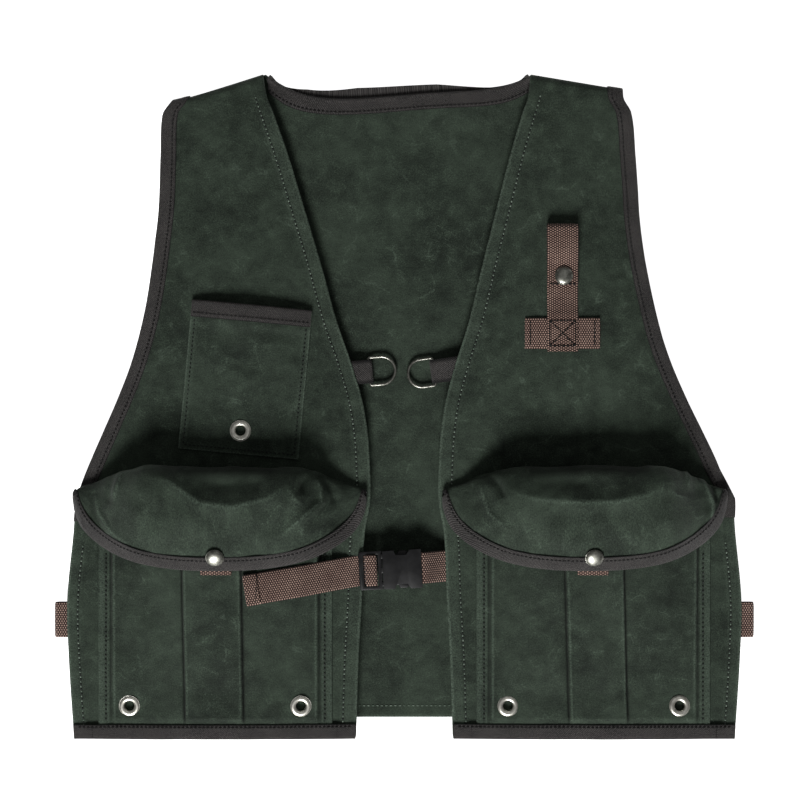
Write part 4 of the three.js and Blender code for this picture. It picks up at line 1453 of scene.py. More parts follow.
@dataclass(frozen=True)
class BackPanel:
    """The back, one sheet that shows between the fronts and all over from behind."""

    columns: int = 190
    rows: int = 170
    hem_stitch: float = 9.0
    cloth_from: float = 500.0
    stitch: Stitch = Stitch(3.7, 2.2, 0.95)
    swells: tuple[Ripples, ...] = (Ripples(31, 70, 0.3, 1.6), Ripples(32, 15, 0.08))

    def build(self) -> None:
        """Makes the panel and its hem stitching."""
        side = np.linspace(CUT.neck_share, 1, 26)
        middle = np.linspace(-CUT.neck_share, CUT.neck_share, self.columns - 2 * len(side))
        a_line = np.concatenate([-side[::-1], middle[1:-1], side])
        a, b = np.meshgrid(a_line, CUT.rows_up(self.rows))
        points = CUT.back(a, b)
        along = points[..., 1] - CUT.back_hem
        calm = (1 - smooth(0.72, 0.86, np.abs(a))) * (1 - smooth(0.86, 0.93, b)) * smooth(0, 0.05, b)
        swell = waves(points[..., 0], points[..., 1], *self.swells)
        points[..., 2] += np.maximum(swell, -0.1) * calm
        fold = 0.6 * (1 - smooth(self.hem_stitch + 1, self.hem_stitch + 3, along))
        hem = (fold - 0.35 * bell(along - self.hem_stitch, 1.2)) * (1 - smooth(0.9, 0.95, b))
        wear_and_shade = 0.7 * bell(along, 1)
        cloth = np.stack([points[..., 0] + self.cloth_from, points[..., 1], wear_and_shade], axis=-1)
        panel = make_piece("back_panel.cloth", shell(points, CUT.cloth, cloth, hem), Finish.CANVAS,
                           ["back_panel"])
        edge = CUT.edge(Side.LEFT, b[:, 0])
        length = CUT.body_length - CUT.back_hem
        a_row = between(-0.96, 0.96, 0.008)
        share = np.full(a_row.shape, self.hem_stitch / length)
        seats, _, _, normals = surface_frame(CUT.back, a_row, share)
        upper = self.stitch.row(seats + normals * (CUT.cloth / 2 + 0.3), normals, 0.05)
        lower = self.stitch.row(seats - normals * CUT.cloth / 2, -normals, -0.25)
        make_piece("back_hem_stitching", joined([upper, lower]), Finish.SEAM_THREAD)


@dataclass(frozen=True)
class Tapes:
    """The bound edges: both armholes, the neck and both front hems."""

    armhole: float = 12.0
    armhole_stitch: float = 8.6
    neck_inner: float = 12.4
    neck_outer: float = 8.6
    neck_places: tuple[float, ...] = (-0.86, -0.7, -0.3, 0.3, 0.7, 0.9)
    neck_shares: tuple[float, ...] = (0.07, 0.55, 1.0, 0.78, 0.16, 0.07)
    hem: float = 11.5
    cloth_from: float = 900.0
    stitch: Stitch = TAPE_STITCH
    tack: Stitch = Stitch(1.6, 1.5, 1.0)

    def crumple(self, points: Array, normals: Array, seed: int) -> Array:
        """Gives a tape's path small puckers, less at its edge.

        Args:
            points: the path, a row for each station.
            normals: the cloth's normals there.
            seed: which puckers.

        Returns:
            The moved points.
        """
        fade = np.linspace(1, 0.25, points.shape[1])[None, :]
        wave = Ripples(seed, 17, 0.12).at(points[..., 0] * 1.3, points[..., 1])
        return points + normals * np.abs(wave * fade)[..., None]

    def armhole_tape(self, side: Side) -> None:
        """Makes one armhole's tape, up the front, over the shoulder and down the back.

        Args:
            side: the armhole's side.
        """
        sign = side.value
        over = CUT.cloth / 2 + CUT.tape_gap
        up_to_fold = between(CUT.armhole_bottom, CUT.fold_from, 0.0055)
        rows = np.concatenate([up_to_fold, np.linspace(CUT.fold_from, 1, 8)[1:]])
        share = np.linspace(1, 0, 6)
        parts = []
        for surface, edge, b_rows, flip in (
            (CUT.front(side), 1.0, rows, 1.0), (CUT.back, float(sign), rows[::-1], -1.0),
        ):
            a_edge, b = np.meshgrid(np.full(len(share), edge), b_rows)
            up = surface(a_edge[:, 0], b_rows)[:, 1] / CUT.body_length
            width = CUT.span(side, up) if flip > 0 else CUT.edge(side, up)
            a = a_edge - np.sign(edge) * share[None, :] * self.armhole / width[:, None]
            points, _, _, normals = surface_frame(surface, a, b)
            tangent = unit(np.gradient(points[:, -1], axis=0))
            out = square_out(np.array([sign, 0.0, 0.0]), tangent)
            parts.append((points, normals * flip, out))
        points, normals, out = (np.concatenate(each) for each in zip(*parts))
        points = self.crumple(points, normals, 41 + sign)
        made = folded_tape(points, normals, out, over, over, CUT.tape, CUT.gap)
        made.cloth[:, 0] += self.cloth_from * sign
        make_piece(f"armhole_tape_{side.label}", made, Finish.TAPE, [f"armhole_binding_{side.label}"])
        self.armhole_thread(side, points, normals, over)

    def armhole_thread(self, side: Side, points: Array, normals: Array, over: float) -> None:
        """Makes the stitches of one armhole's tape, on the front and on the back.

        Args:
            side: the armhole's side.
            points: the tape's path, a row for each station.
            normals: the cloth's normals there.
            over: height of the tape's lower face above the cloth's middle.
        """
        share = (1 - self.armhole_stitch / self.armhole) * (points.shape[1] - 1)
        low = int(share)
        line = lerp(points[:, low], points[:, low + 1], share - low)
        up = normals[:, low]
        line = line + up * (over + CUT.tape)
        front_end, back_start = len(line) // 2 - 6, len(line) // 2 + 6
        front = self.stitch.row(line[:front_end], up[:front_end], TAPE_LIFT)
        back = self.stitch.row(line[back_start:], up[back_start:], TAPE_LIFT)
        make_piece(f"armhole_stitching_{side.label}", joined([front, back]), Finish.TAPE_THREAD)

    def neck(self) -> None:
        """Makes the tape along the back neckline."""
        over = CUT.cloth / 2 + CUT.tape_gap
        a_line = np.linspace(-0.985, 0.985, 110) * CUT.neck_share
        length = CUT.back(a_line, np.full(a_line.shape, CUT.fold_from))[:, 1] - CUT.back_hem
        inner = CUT.fold_from * (1 - (self.neck_inner - CUT.shoulder_fold) / length)
        b = np.concatenate([
            inner[:, None] + (CUT.fold_from - inner[:, None]) * np.linspace(0, 1, 4)[None, :],
            np.broadcast_to(np.linspace(CUT.fold_from, 1, 4)[1:], (len(a_line), 3)),
        ], axis=1)
        a = np.broadcast_to(a_line[:, None], b.shape)
        points, _, _, normals = surface_frame(CUT.back, a, b)
        tangent = unit(np.gradient(points[:, -1], axis=0))
        out = square_out(points[:, -1] - points[:, -2], tangent)
        along = a_line / CUT.neck_share
        outer = self.neck_outer * np.interp(along, self.neck_places, self.neck_shares)
        made = folded_tape(points, normals, out, over, over, CUT.tape, CUT.gap, outer[:, None])
        make_piece("neck_tape", made, Finish.TAPE, ["neck_binding"])
        line = points[:, 1] + normals[:, 1] * (over + CUT.tape)
        make_piece("neck_stitching", self.stitch.row(line, normals[:, 1], TAPE_LIFT), Finish.TAPE_THREAD)

    def hem_tape(self, side: Side) -> None:
        """Makes the tape along one front hem, which also holds the cargo pocket's foot.

        Args:
            side: the panel's side.
        """
        under = CUT.cloth / 2 + CUT.tape_gap
        over = under + CUT.bag_cloth + CUT.gap
        a_line = np.linspace(0, 1, 120)
        share = np.linspace(1, 0, 6)
        a, inward = np.meshgrid(a_line, share, indexing="ij")
        b = inward * self.hem / CUT.body_length * CUT.fold_from
        points, _, _, normals = surface_frame(CUT.front(side), a, b)
        wave = Ripples(45 + side.value, 42, 1.0).at(points[..., 0], 0 * b)
        points[..., 2] += 0.35 * (1 - inward) * wave
        out = np.broadcast_to(-Y_WAY, (len(a_line), 3))
        points = self.crumple(points, normals, 51 + side.value)
        made = folded_tape(points, normals, out, over, under, CUT.tape, CUT.gap)
        make_piece(f"hem_tape_{side.label}", made, Finish.TAPE, [f"hem_binding_{side.label}"])
        line = points[:, 1] + normals[:, 1] * (over + CUT.tape)
        rows = [self.stitch.row(line[2:-2], normals[2:-2, 1], TAPE_LIFT)]
        for at in (8, -9):
            tack = np.stack([line[at], points[at, 5] + normals[at, 5] * (over + CUT.tape)])
            path = even_path(tack, 1)
            rows.append(self.tack.row(path, np.broadcast_to(normals[at, 1], path.shape), 0.05))
        make_piece(f"hem_stitching_{side.label}", joined(rows), Finish.TAPE_THREAD)

    def build(self) -> None:
        """Makes all the tapes."""
        for side in Side:
            self.armhole_tape(side)
            self.hem_tape(side)
        self.neck()


@dataclass(frozen=True)
class Place:
    """A place and its three directions.

    Attributes:
        origin: the place.
        x: its first direction.
        y: its second.
        z: its third, which stands up.
    """

    origin: Array
    x: Array
    y: Array
    z: Array

    def put(self, points: Array) -> Array:
        """Moves points from the place's own frame to the vest's."""
        p = np.asarray(points, float)
        return self.origin + p[..., :1] * self.x + p[..., 1:2] * self.y + p[..., 2:3] * self.z

    def set(self, made: Meshed) -> Meshed:
        """Moves a mesh from the place's own frame to the vest's."""
        made.points = self.put(made.points)
        return made

    def raised(self, height: float) -> "Place":
        """The same place, higher along its Z."""
        return Place(self.origin + self.z * height, self.x, self.y, self.z)


def flat_place(x: float, y: float, z: float, degrees: float) -> Place:
    """A place that lies flat and is turned about Z.

    Args:
        x: where it is, in the plan.
        y: the same along Y.
        z: its height.
        degrees: how far it is turned.

    Returns:
        The place.
    """
    turn = math.radians(degrees)
    way = np.array([math.cos(turn), math.sin(turn), 0.0])
    return Place(np.array([x, y, z]), way, np.array([-way[1], way[0], 0.0]), Z_WAY)


def seated(surface: Surface, a: float, b: float) -> Place:
    """A place square on a surface, with Z out of its upper side."""
    point, along, _, normal = surface_frame(surface, np.array([a]), np.array([b]))
    return Place(point[0], along[0], np.cross(normal[0], along[0]), normal[0])


@dataclass(frozen=True)
class Snap:
    """A domed snap cap with a rolled rim."""

    width: float = 15.0
    height: float = 3.4
    brim: float = 0.75
    dome_share: float = 0.955

    def mesh(self) -> Meshed:
        """The cap's mesh, standing on its own origin."""
        r = self.width / 2
        dome = [(r * self.dome_share * math.cos(t), self.brim + (self.height - self.brim) * math.sin(t))
                for t in np.linspace(0.06, QUARTER - 0.02, 16)]
        rim = [(r - 0.36 + 0.36 * math.cos(t), 0.4 + 0.34 * math.sin(t))
               for t in np.linspace(-1.5, 1.7, 8)]
        return turned([(0.01, 0.1), (r - 1.2, 0.06), *rim, *dome, (0.01, self.height)], 48)


@dataclass(frozen=True)
class Eyelet:
    """A rolled eyelet with its barrel and the washer behind the cloth."""

    outer: float = 17.2
    hole: float = 8.0
    wall: float = 0.7
    rim: float = 1.1
    washer: float = 14.4

    def mesh(self, cloth: float) -> Meshed:
        """The eyelet's mesh.

        Args:
            cloth: thickness of the cloth that it grips.

        Returns:
            The closed mesh, centred on the cloth's middle.
        """
        inner, top = self.hole / 2, cloth / 2 + CUT.gap
        wide = self.outer / 2
        foot, rise = top + 0.12, self.rim - 0.12
        roll = [(lerp(inner + 0.2, wide - 0.25, s), foot + rise * math.sin(math.pi * s) ** 0.55)
                for s in np.linspace(1, 0, 14)]
        barrel = [(inner, top * 0.4), (inner, -top), (inner + 0.25, -top - self.wall)]
        washer = self.washer / 2
        back = [(washer - 0.3, -top - self.wall), (washer, -top - 0.35), (washer, -top)]
        up = [(inner + self.wall, -top), (inner + self.wall, top), (wide, top), (wide, top + 0.15)]
        return turned([*roll, *barrel, *back, *up], 44)


@dataclass(frozen=True)
class CargoPocket:
    """A bellows pocket with a raised box pleat, side flanges, two eyelets and the flap snap's tab."""

    side: Side
    centre: float = 155.7
    face: float = 169.0
    flange: float = 11.5
    height: float = 175.0
    gusset_rise: float = 5.0
    bulge: float = 12.5
    pleat: float = 46.0
    pleat_shift: float = 1.3
    pleat_slant: float = 0.0
    slant_from: float = 90.0
    pleat_rise: float = 2.2
    pleat_step: float = 1.1
    eyelet_up: float = 26.8
    eyelet_span: float = 141.0
    flange_stitch: float = 5.6
    tab_foot: float = 136.0
    tab_length: float = 22.0
    tab_width: float = 25.5
    tab_across: float = -2.2
    hole: float = 5.4
    flat_extra: float = 24.0
    cloth_from: float = 1300.0
    thread: Stitch = Stitch(3.7, 2.4, 1.4)
    ups: tuple[float, ...] = (0, 0.07, 0.095, 0.215, 0.36, 0.58, 0.8, 1)
    gussets: tuple[float, ...] = (0, 0, 0.4, 0.4, 0.55, 0.75, 0.9, 1)
    bulges: tuple[float, ...] = (0, 0, 0, 0, 0.3, 0.68, 1, 1.05)

    def pleat_line(self, y: Array) -> Array:
        """Where the pleat's middle lies across the bag."""
        return self.pleat_shift + self.pleat_slant * (self.slant_from - y)

    def rise(self, across: Array, y: Array) -> Array:
        """Height of the bag's middle surface.

        Args:
            across: places across the bag, from its centre outwards.
            y: places above the hem.

        Returns:
            The heights.
        """
        x = self.side.value * (self.centre + across)
        base = CUT.front_height(self.side, x, y) + (CUT.cloth + CUT.bag_cloth) / 2 + CUT.gap
        up = y / self.height
        half = self.face / 2
        gusset = np.interp(up, self.ups, self.gussets)
        bulges = np.interp(up, self.ups, self.bulges)
        on_face = 1 - smooth(half - self.pleat_step, half + self.pleat_step, np.abs(across))
        bulge = np.maximum(0, np.cos(math.pi / 2 * np.minimum(1, np.abs(across) / half)))
        from_pleat = np.abs(across - self.pleat_line(y))
        edge = self.pleat / 2
        on_pleat = 1 - smooth(edge - self.pleat_step / 2, edge + self.pleat_step / 2, from_pleat)
        raised = smooth(0, 0.4, gusset)
        sag = -0.5 * bell(from_pleat - edge - 3.2, 2.6) - 1.7 * bell(from_pleat - edge - 1.2, 1.1)
        sag = sag * raised
        roll = 0.45 * (bell(from_pleat - edge + 1.6, 1.5) + bell(np.abs(across) - half + 2.4, 1.9)) * raised
        loose = raised * on_face * (1 - 0.4 * bell(from_pleat - edge, 4))
        sign = self.side.value
        folds = waves(across, y, Ripples(61 + sign, 34, 0.4, 1.6), Ripples(63 + sign, 14, 0.12))
        low = np.maximum(folds * loose, -0.6)
        return (base + on_face * self.gusset_rise * gusset + bulge * self.bulge * bulges
                + on_pleat * self.pleat_rise * raised + sag + roll + low)

    def surface(self, across: Array, y: Array) -> Array:
        """Points of the bag's middle surface."""
        x = self.side.value * (self.centre + across)
        return np.stack([x, y, self.rise(across, y)], axis=-1)

    def build(self) -> None:
        """Makes the bag, its eyelets and its stitching, and the tab below the flap."""
        half = self.face / 2
        edges = np.array([half + self.flange - 0.2, half + 8, half + 5.6, half + 3.5])
        face_edge = half + np.linspace(1.6, -5, 14)
        pleat_edge = self.pleat / 2 + np.linspace(3.4, -4.2, 16)
        inner = np.linspace(half - 7, self.pleat / 2 + 5, 24)
        right = np.concatenate([edges, face_edge, inner, pleat_edge + self.pleat_shift])
        left = np.concatenate([edges, face_edge, inner, pleat_edge - self.pleat_shift])
        middle = np.linspace(self.pleat / 2 - 6, -self.pleat / 2 + 6, 18) + self.pleat_shift
        across_line = np.concatenate([right, middle, -left[::-1]])
        foot = [np.linspace(CUT.gap, 11, 6)[:-1], np.linspace(11, 20, 10)[:-1]]
        y_line = np.concatenate([*foot, np.linspace(20, self.height, 84)])
        across, y = np.meshgrid(across_line, y_line)
        lag = 1 - smooth(self.pleat / 2 + 6, half - 12, np.abs(across))
        across = across + lag * self.pleat_slant * (self.slant_from - y)
        points = self.surface(across, y)
        from_pleat = np.abs(across - self.pleat_line(y)) - self.pleat / 2
        eyelets = [(end * self.eyelet_span / 2, self.eyelet_up) for end in (1, -1)]
        seats = [seated(self.surface, *at) for at in eyelets]
        from_eyelets = [np.hypot(across - at[0], y - at[1]) for at in eyelets]
        out = np.abs(across)
        rub = 0.75 * bell(np.abs(from_pleat + 1.2), 1.0)
        rub = np.maximum(rub, 0.8 * bell(out - half + 1.8, 1.2)) * smooth(14, 20, y)
        rub = np.maximum(rub, 0.4 * sum(bell(apart, 12) for apart in from_eyelets) * (out < half - 4))
        rub = np.maximum(rub, 0.5 * (out > half + 3))
        # Darker lines: partly grime along the flange stitching, and painted shade in the undercut beside
        # the pleat's folds and beside the face's edges.
        stitch_grime_and_fold_shade = bell(out - half - self.flange_stitch, 0.9) * 0.3
        stitch_grime_and_fold_shade = np.maximum(stitch_grime_and_fold_shade, bell(from_pleat - 1.2, 1.4) * smooth(10, 18, y))
        rub = rub - np.maximum(stitch_grime_and_fold_shade, 0.8 * bell(out - half - 1.6, 0.9) * smooth(14, 20, y))
        rub = rub - 0.2 * (out < half)
        cloth = np.stack([points[..., 0] + self.cloth_from, points[..., 1] + 77, rub], axis=-1)
        holes = np.max([self.hole - apart for apart in from_eyelets], axis=0)
        made = shell(points, CUT.bag_cloth, cloth, holes=holes)
        label = self.side.label
        bag = make_piece(f"cargo_pocket_{label}", made, Finish.CANVAS, [f"pocket_bag_{label}"])
        for word, seat in zip(("outer", "inner"), seats):
            node = f"pocket_eyelet_{label}_{word}"
            make_piece(f"{node}.rolled", seat.set(Eyelet().mesh(CUT.bag_cloth)), Finish.POLISHED, [node])
        self.height * METRES
        self.stitch()
        self.tab()

    def stitch(self) -> None:
        """Makes the thread down both flanges."""
        rows = []
        for sign in (1, -1):
            y = between(14, self.height - 22, 1.0)
            across = np.full(y.shape, sign * (self.face / 2 + self.flange_stitch))
            points, _, _, normals = surface_frame(self.surface, across, y)
            rows.append(self.thread.row(points + normals * CUT.bag_cloth / 2, normals, POCKET_LIFT))
        make_piece(f"pocket_stitching_{self.side.label}", joined(rows), Finish.SHADE_THREAD)

    def tab(self) -> None:
        """Makes the webbing tab that the flap's snap closes on."""
        y = between(self.tab_foot, self.tab_foot + self.tab_length, 0.8)
        seat = CUT.bag_cloth / 2 + CUT.gap + CUT.webbing / 2
        x = self.side.value * (self.centre + self.tab_across)
        across = np.full(y.shape, self.tab_across)
        path = np.stack([np.full(y.shape, x), y, self.rise(across, y) + seat], axis=1)
        made = Band(self.tab_width, CUT.webbing).along(path, X_WAY, 30)
        webbing_piece(f"snap_tab_{self.side.label}", made)


@dataclass(frozen=True)
class Flap:
    """A domed pocket flap with a bound lip and a snap.

    Attributes:
        side: which pocket it covers.
        centre: from the centre line to the flap's middle.
        width: from end to end.
        end_up: height of both ends above the hem.
        end_rise: how far the seam stands above the end's middle.
        end_fall: how far the lip hangs below it.
        end_from: share of the half width where an end begins to round off.
        end_span: share of the half width that it takes to do so.
        roundness: the power of the outline's curve.
        arch: how far the seam rises from the ends to the middle.
        depth: how far the lip hangs below the ends.
        crown: height of the dome.
        crown_near: share of it at the control point by the seam.
        crown_far: share of it at the control point by the lip.
        crown_reach: the second point's place, as a share of the way from the seam to the lip.
        wing: height of the cloth at both ends.
        lip: height of the lip at the middle.
        lip_end: height of the lip at the ends.
        overhang: how far the dome leans out over the seam.
        overhang_end: share of that at the ends.
        tape: width of the tape along the lip.
        tape_from: where the tape begins, as a share of the way from the seam to the lip.
        end_share: how far the mesh runs towards the very end.
        stitch_share: where the stitches lie across the tape.
        snap_at: from the centre line to the snap.
        flat_depth: from the seam over the crown to the lip, laid flat.
        flat_fill: share of the flat rectangle that the flap fills.
        cloth_from: shifts the flap's place in the cloth's clouds and weave.
        creases: its folds.
    """

    side: Side
    centre: float = 153.5
    width: float = 241.0
    end_up: float = 199.0
    end_rise: float = 2.0
    end_fall: float = 6.0
    end_from: float = 0.93
    end_span: float = 0.07
    roundness: float = 2.4
    arch: float = 14.0
    depth: float = 58.0
    crown: float = 40.0
    crown_near: float = 0.9
    crown_far: float = 1.35
    crown_reach: float = 0.25
    wing: float = 7.0
    lip: float = 25.2
    lip_end: float = 3.2
    overhang: float = 32.0
    overhang_end: float = 0.15
    tape: float = 12.0
    tape_from: float = 0.8
    end_share: float = 0.9992
    stitch_share: float = 0.28
    snap_at: float = 153.5
    flat_depth: float = 105.0
    flat_fill: float = 0.88
    cloth_from: float = 2100.0
    creases: tuple[Crease, ...] = ()

    def surface(self, a: Array, b: Array) -> Array:
        """Points of the flap's middle surface.

        Args:
            a: places from the inner end, -1, to the outer end, 1.
            b: places from the seam, 0, over the crown to the lip, 1.

        Returns:
            The points.
        """
        x = self.side.value * (self.centre + a * self.width / 2)
        out = np.abs(a)
        round_ = np.sqrt(np.maximum(1e-4, 1 - out ** self.roundness))
        end = np.sqrt(np.maximum(0, 1 - np.maximum(0, (out - self.end_from) / self.end_span) ** 2))
        seam = self.end_up + self.end_rise * end + self.arch * round_
        hang = self.depth - self.end_fall
        lip_y = self.end_up - self.end_fall * end - hang * round_
        bend = hang * self.roundness / 2 * out ** (self.roundness - 1)
        slope = bend / round_ / (self.width / 2)
        dome = 1 - smooth(0.5, 0.93, out)
        crown = lerp(self.wing, self.crown, dome)
        lip = lerp(self.lip_end, self.lip, 1 - smooth(0.5, 1, out))
        over_tape = (CUT.tape + CUT.tape_gap) * smooth(0.7, 0.85, a)
        base = CUT.front_height(self.side, x, (seam + lip_y) / 2) + CUT.cloth / 2 + over_tape
        foot = base + CUT.cloth / 2 + CUT.gap
        depth = seam - lip_y
        overhang = self.overhang * lerp(self.overhang_end, 1, dome)
        ys = [seam, seam + overhang, seam - self.crown_reach * depth, lip_y]
        near, far = foot + self.crown_near * crown, base + self.crown_far * crown
        zs = [foot, near, far, base + CUT.cloth / 2 + lip]
        share = self.tape * np.sqrt(1 + slope ** 2) / (3 * np.hypot(ys[3] - ys[2], zs[3] - zs[2]))
        inner = 1 - np.minimum(share, 0.5 + 0.44 * smooth(0.85, 1, out))
        t = np.where(b < self.tape_from, inner * b / self.tape_from,
                     lerp(inner, 1, (b - self.tape_from) / (1 - self.tape_from)))
        s = 1 - t
        weights = [s ** 3, 3 * s * s * t, 3 * s * t * t, t ** 3]
        y = sum(w * v for w, v in zip(weights, ys))
        z = sum(w * v for w, v in zip(weights, zs))
        return np.stack([x, y, z], axis=-1)

    def folded(self, a: Array, b: Array) -> Array:
        """The middle surface with its folds pressed in.

        Args:
            a: places from the inner end to the outer end.
            b: places from the seam to the lip.

        Returns:
            The points.
        """
        points, _, _, normals = surface_frame(self.surface, a, b)
        x, y = self.side.value * points[..., 0] - self.centre, points[..., 1]
        free = smooth(0.02, 0.2, b) * (1 - smooth(0.72, 0.86, b))
        free = free * (1 - smooth(0.86, 0.96, np.abs(a)))
        sign = self.side.value
        total = free * waves(x, y, Ripples(71 + sign, 40, 0.55), Ripples(73 + sign, 16, 0.16))
        for crease in self.creases:
            raised = crease.at(points[..., 0], y) * smooth(0.0, 0.08, b)
            total = total + raised * (1 - smooth(0.76, 0.82, b))
        return points + normals * total[..., None]

    def build(self) -> None:
        """Makes the flap, its tape and its snap."""
        a_line = np.sin(np.linspace(-1, 1, 170) * 1.45) / math.sin(1.45) * self.end_share
        b_line = np.concatenate([np.linspace(0, self.tape_from, 76), np.linspace(self.tape_from, 1, 8)[1:]])
        a, b = np.meshgrid(a_line, b_line)
        points = self.folded(a, b)
        rub = np.zeros(a.shape)
        for crease in self.creases:
            mark = Crease(crease.points, 0.9, max(1.0, abs(crease.width) * 0.35))
            rub = np.maximum(rub, mark.at(points[..., 0], points[..., 1]) * (crease.rise > 0))
        # Painted shade: the top of the dome, which faces away from the low key light, is darkened through a
        # negative third cloth value.
        crown = (1 - smooth(0.24, 0.46, b)) * (1 - smooth(0.3, 0.62, np.abs(a)))
        down = b * 95 + 60 * self.side.value
        cloth = np.stack([points[..., 0] + self.cloth_from, down, rub - 0.8 * crown], axis=-1)
        label = self.side.label
        made = shell(points, CUT.cloth, cloth)
        flap = make_piece(f"flap_{label}", made, Finish.CANVAS, [f"pocket_flap_{label}"])
        area = self.width * self.flat_depth * self.flat_fill * SQUARE_METRES
        self.width * METRES
        self.flat_depth * METRES
        self.bind(a_line)
        self.fasten()

    def bind(self, a_line: Array) -> None:
        """Makes the tape along the lip and its stitches.

        Args:
            a_line: places along the flap, from its inner end to its outer end.
        """
        over = CUT.cloth / 2 + CUT.tape_gap
        b_line = np.linspace(self.tape_from, 1, 7)
        a, b = np.meshgrid(a_line, b_line, indexing="ij")
        points, along, down, normals = surface_frame(self.surface, a, b)
        out = square_out(down[:, -1], along[:, -1])
        wave = np.abs(Ripples(81 + self.side.value, 15, 0.14).at(points[..., 0], points[..., 1]))
        points = points + normals * wave[..., None] * 0.8
        made = folded_tape(points, normals, out, over, over, CUT.tape, CUT.gap)
        make_piece(f"flap_tape_{self.side.label}", made, Finish.TAPE, [f"flap_binding_{self.side.label}"])
        at = self.stitch_share * (len(b_line) - 1)
        low = int(at)
        line = lerp(points[:, low], points[:, low + 1], at - low) + normals[:, low] * (over + CUT.tape)
        thread = TAPE_STITCH.row(line[3:-3], normals[3:-3, low], TAPE_LIFT)
        make_piece(f"flap_stitching_{self.side.label}", thread, Finish.TAPE_THREAD)

    def fasten(self) -> None:
        """Makes the snap on the tape."""
        place = seated(self.surface, (self.snap_at - self.centre) / (self.width / 2), self.tape_from)
        stand = CUT.cloth / 2 + CUT.tape_gap + CUT.tape + CUT.gap
        cap = place.raised(stand).set(Snap().mesh())
        node = f"flap_snap_{self.side.label}"
        make_piece(f"{node}.cap", cap, Finish.NICKEL, [node])


RIGHT_FLAP_CREASES = (
    Crease(seen((126, 471), (122, 485), (119, 500)), 2.0, 2.6),
    Crease(seen((117, 476), (113, 490), (111, 503)), -2.2, 3.4),
    Crease(seen((97, 492), (101, 512), (117, 532), (136, 543)), 1.4, 2.6),
    Crease(seen((146, 474), (172, 479), (188, 490), (204, 501), (236, 505), (270, 497), (290, 484)),
           2.0, 5.0),
    Crease(seen((182, 466), (205, 478), (230, 483), (258, 478), (285, 466)), -6.0, 11.0),
    Crease(seen((311, 470), (307, 482), (305, 494)), -4.2, 3.6),
    Crease(seen((312, 470), (321, 486), (322, 500), (309, 511), (280, 536)), 2.2, 2.8),
    Crease(seen((326, 477), (333, 490), (337, 503)), -2.4, 3.6),
    Crease(seen((290, 486), (296, 496), (304, 503)), 1.2, 3.0),
)
LEFT_FLAP_CREASES = (
    Crease(seen((490, 474), (496, 484), (501, 497)), -4.2, 3.8),
    Crease(seen((478, 480), (482, 494), (488, 512), (506, 527)), 1.7, 2.8),
    Crease(seen((505, 484), (516, 493), (540, 498), (570, 500), (610, 500), (642, 493), (662, 482)),
           1.8, 5.0),
    Crease(seen((520, 474), (548, 480), (580, 481), (615, 480), (648, 472)), -4.5, 10.0),
    Crease(seen((682, 466), (683, 476), (685, 488)), 1.8, 2.4),
    Crease(seen((687, 470), (702, 482), (711, 502), (709, 518), (703, 533)), 2.4, 2.4),
    Crease(seen((694, 470), (712, 484), (719, 503), (717, 519)), -2.8, 3.2),
    Crease(seen((660, 486), (672, 494), (684, 497)), 1.1, 3.0),
    Crease(seen((624, 533), (626, 541), (626, 550)), -1.2, 2.0),
)


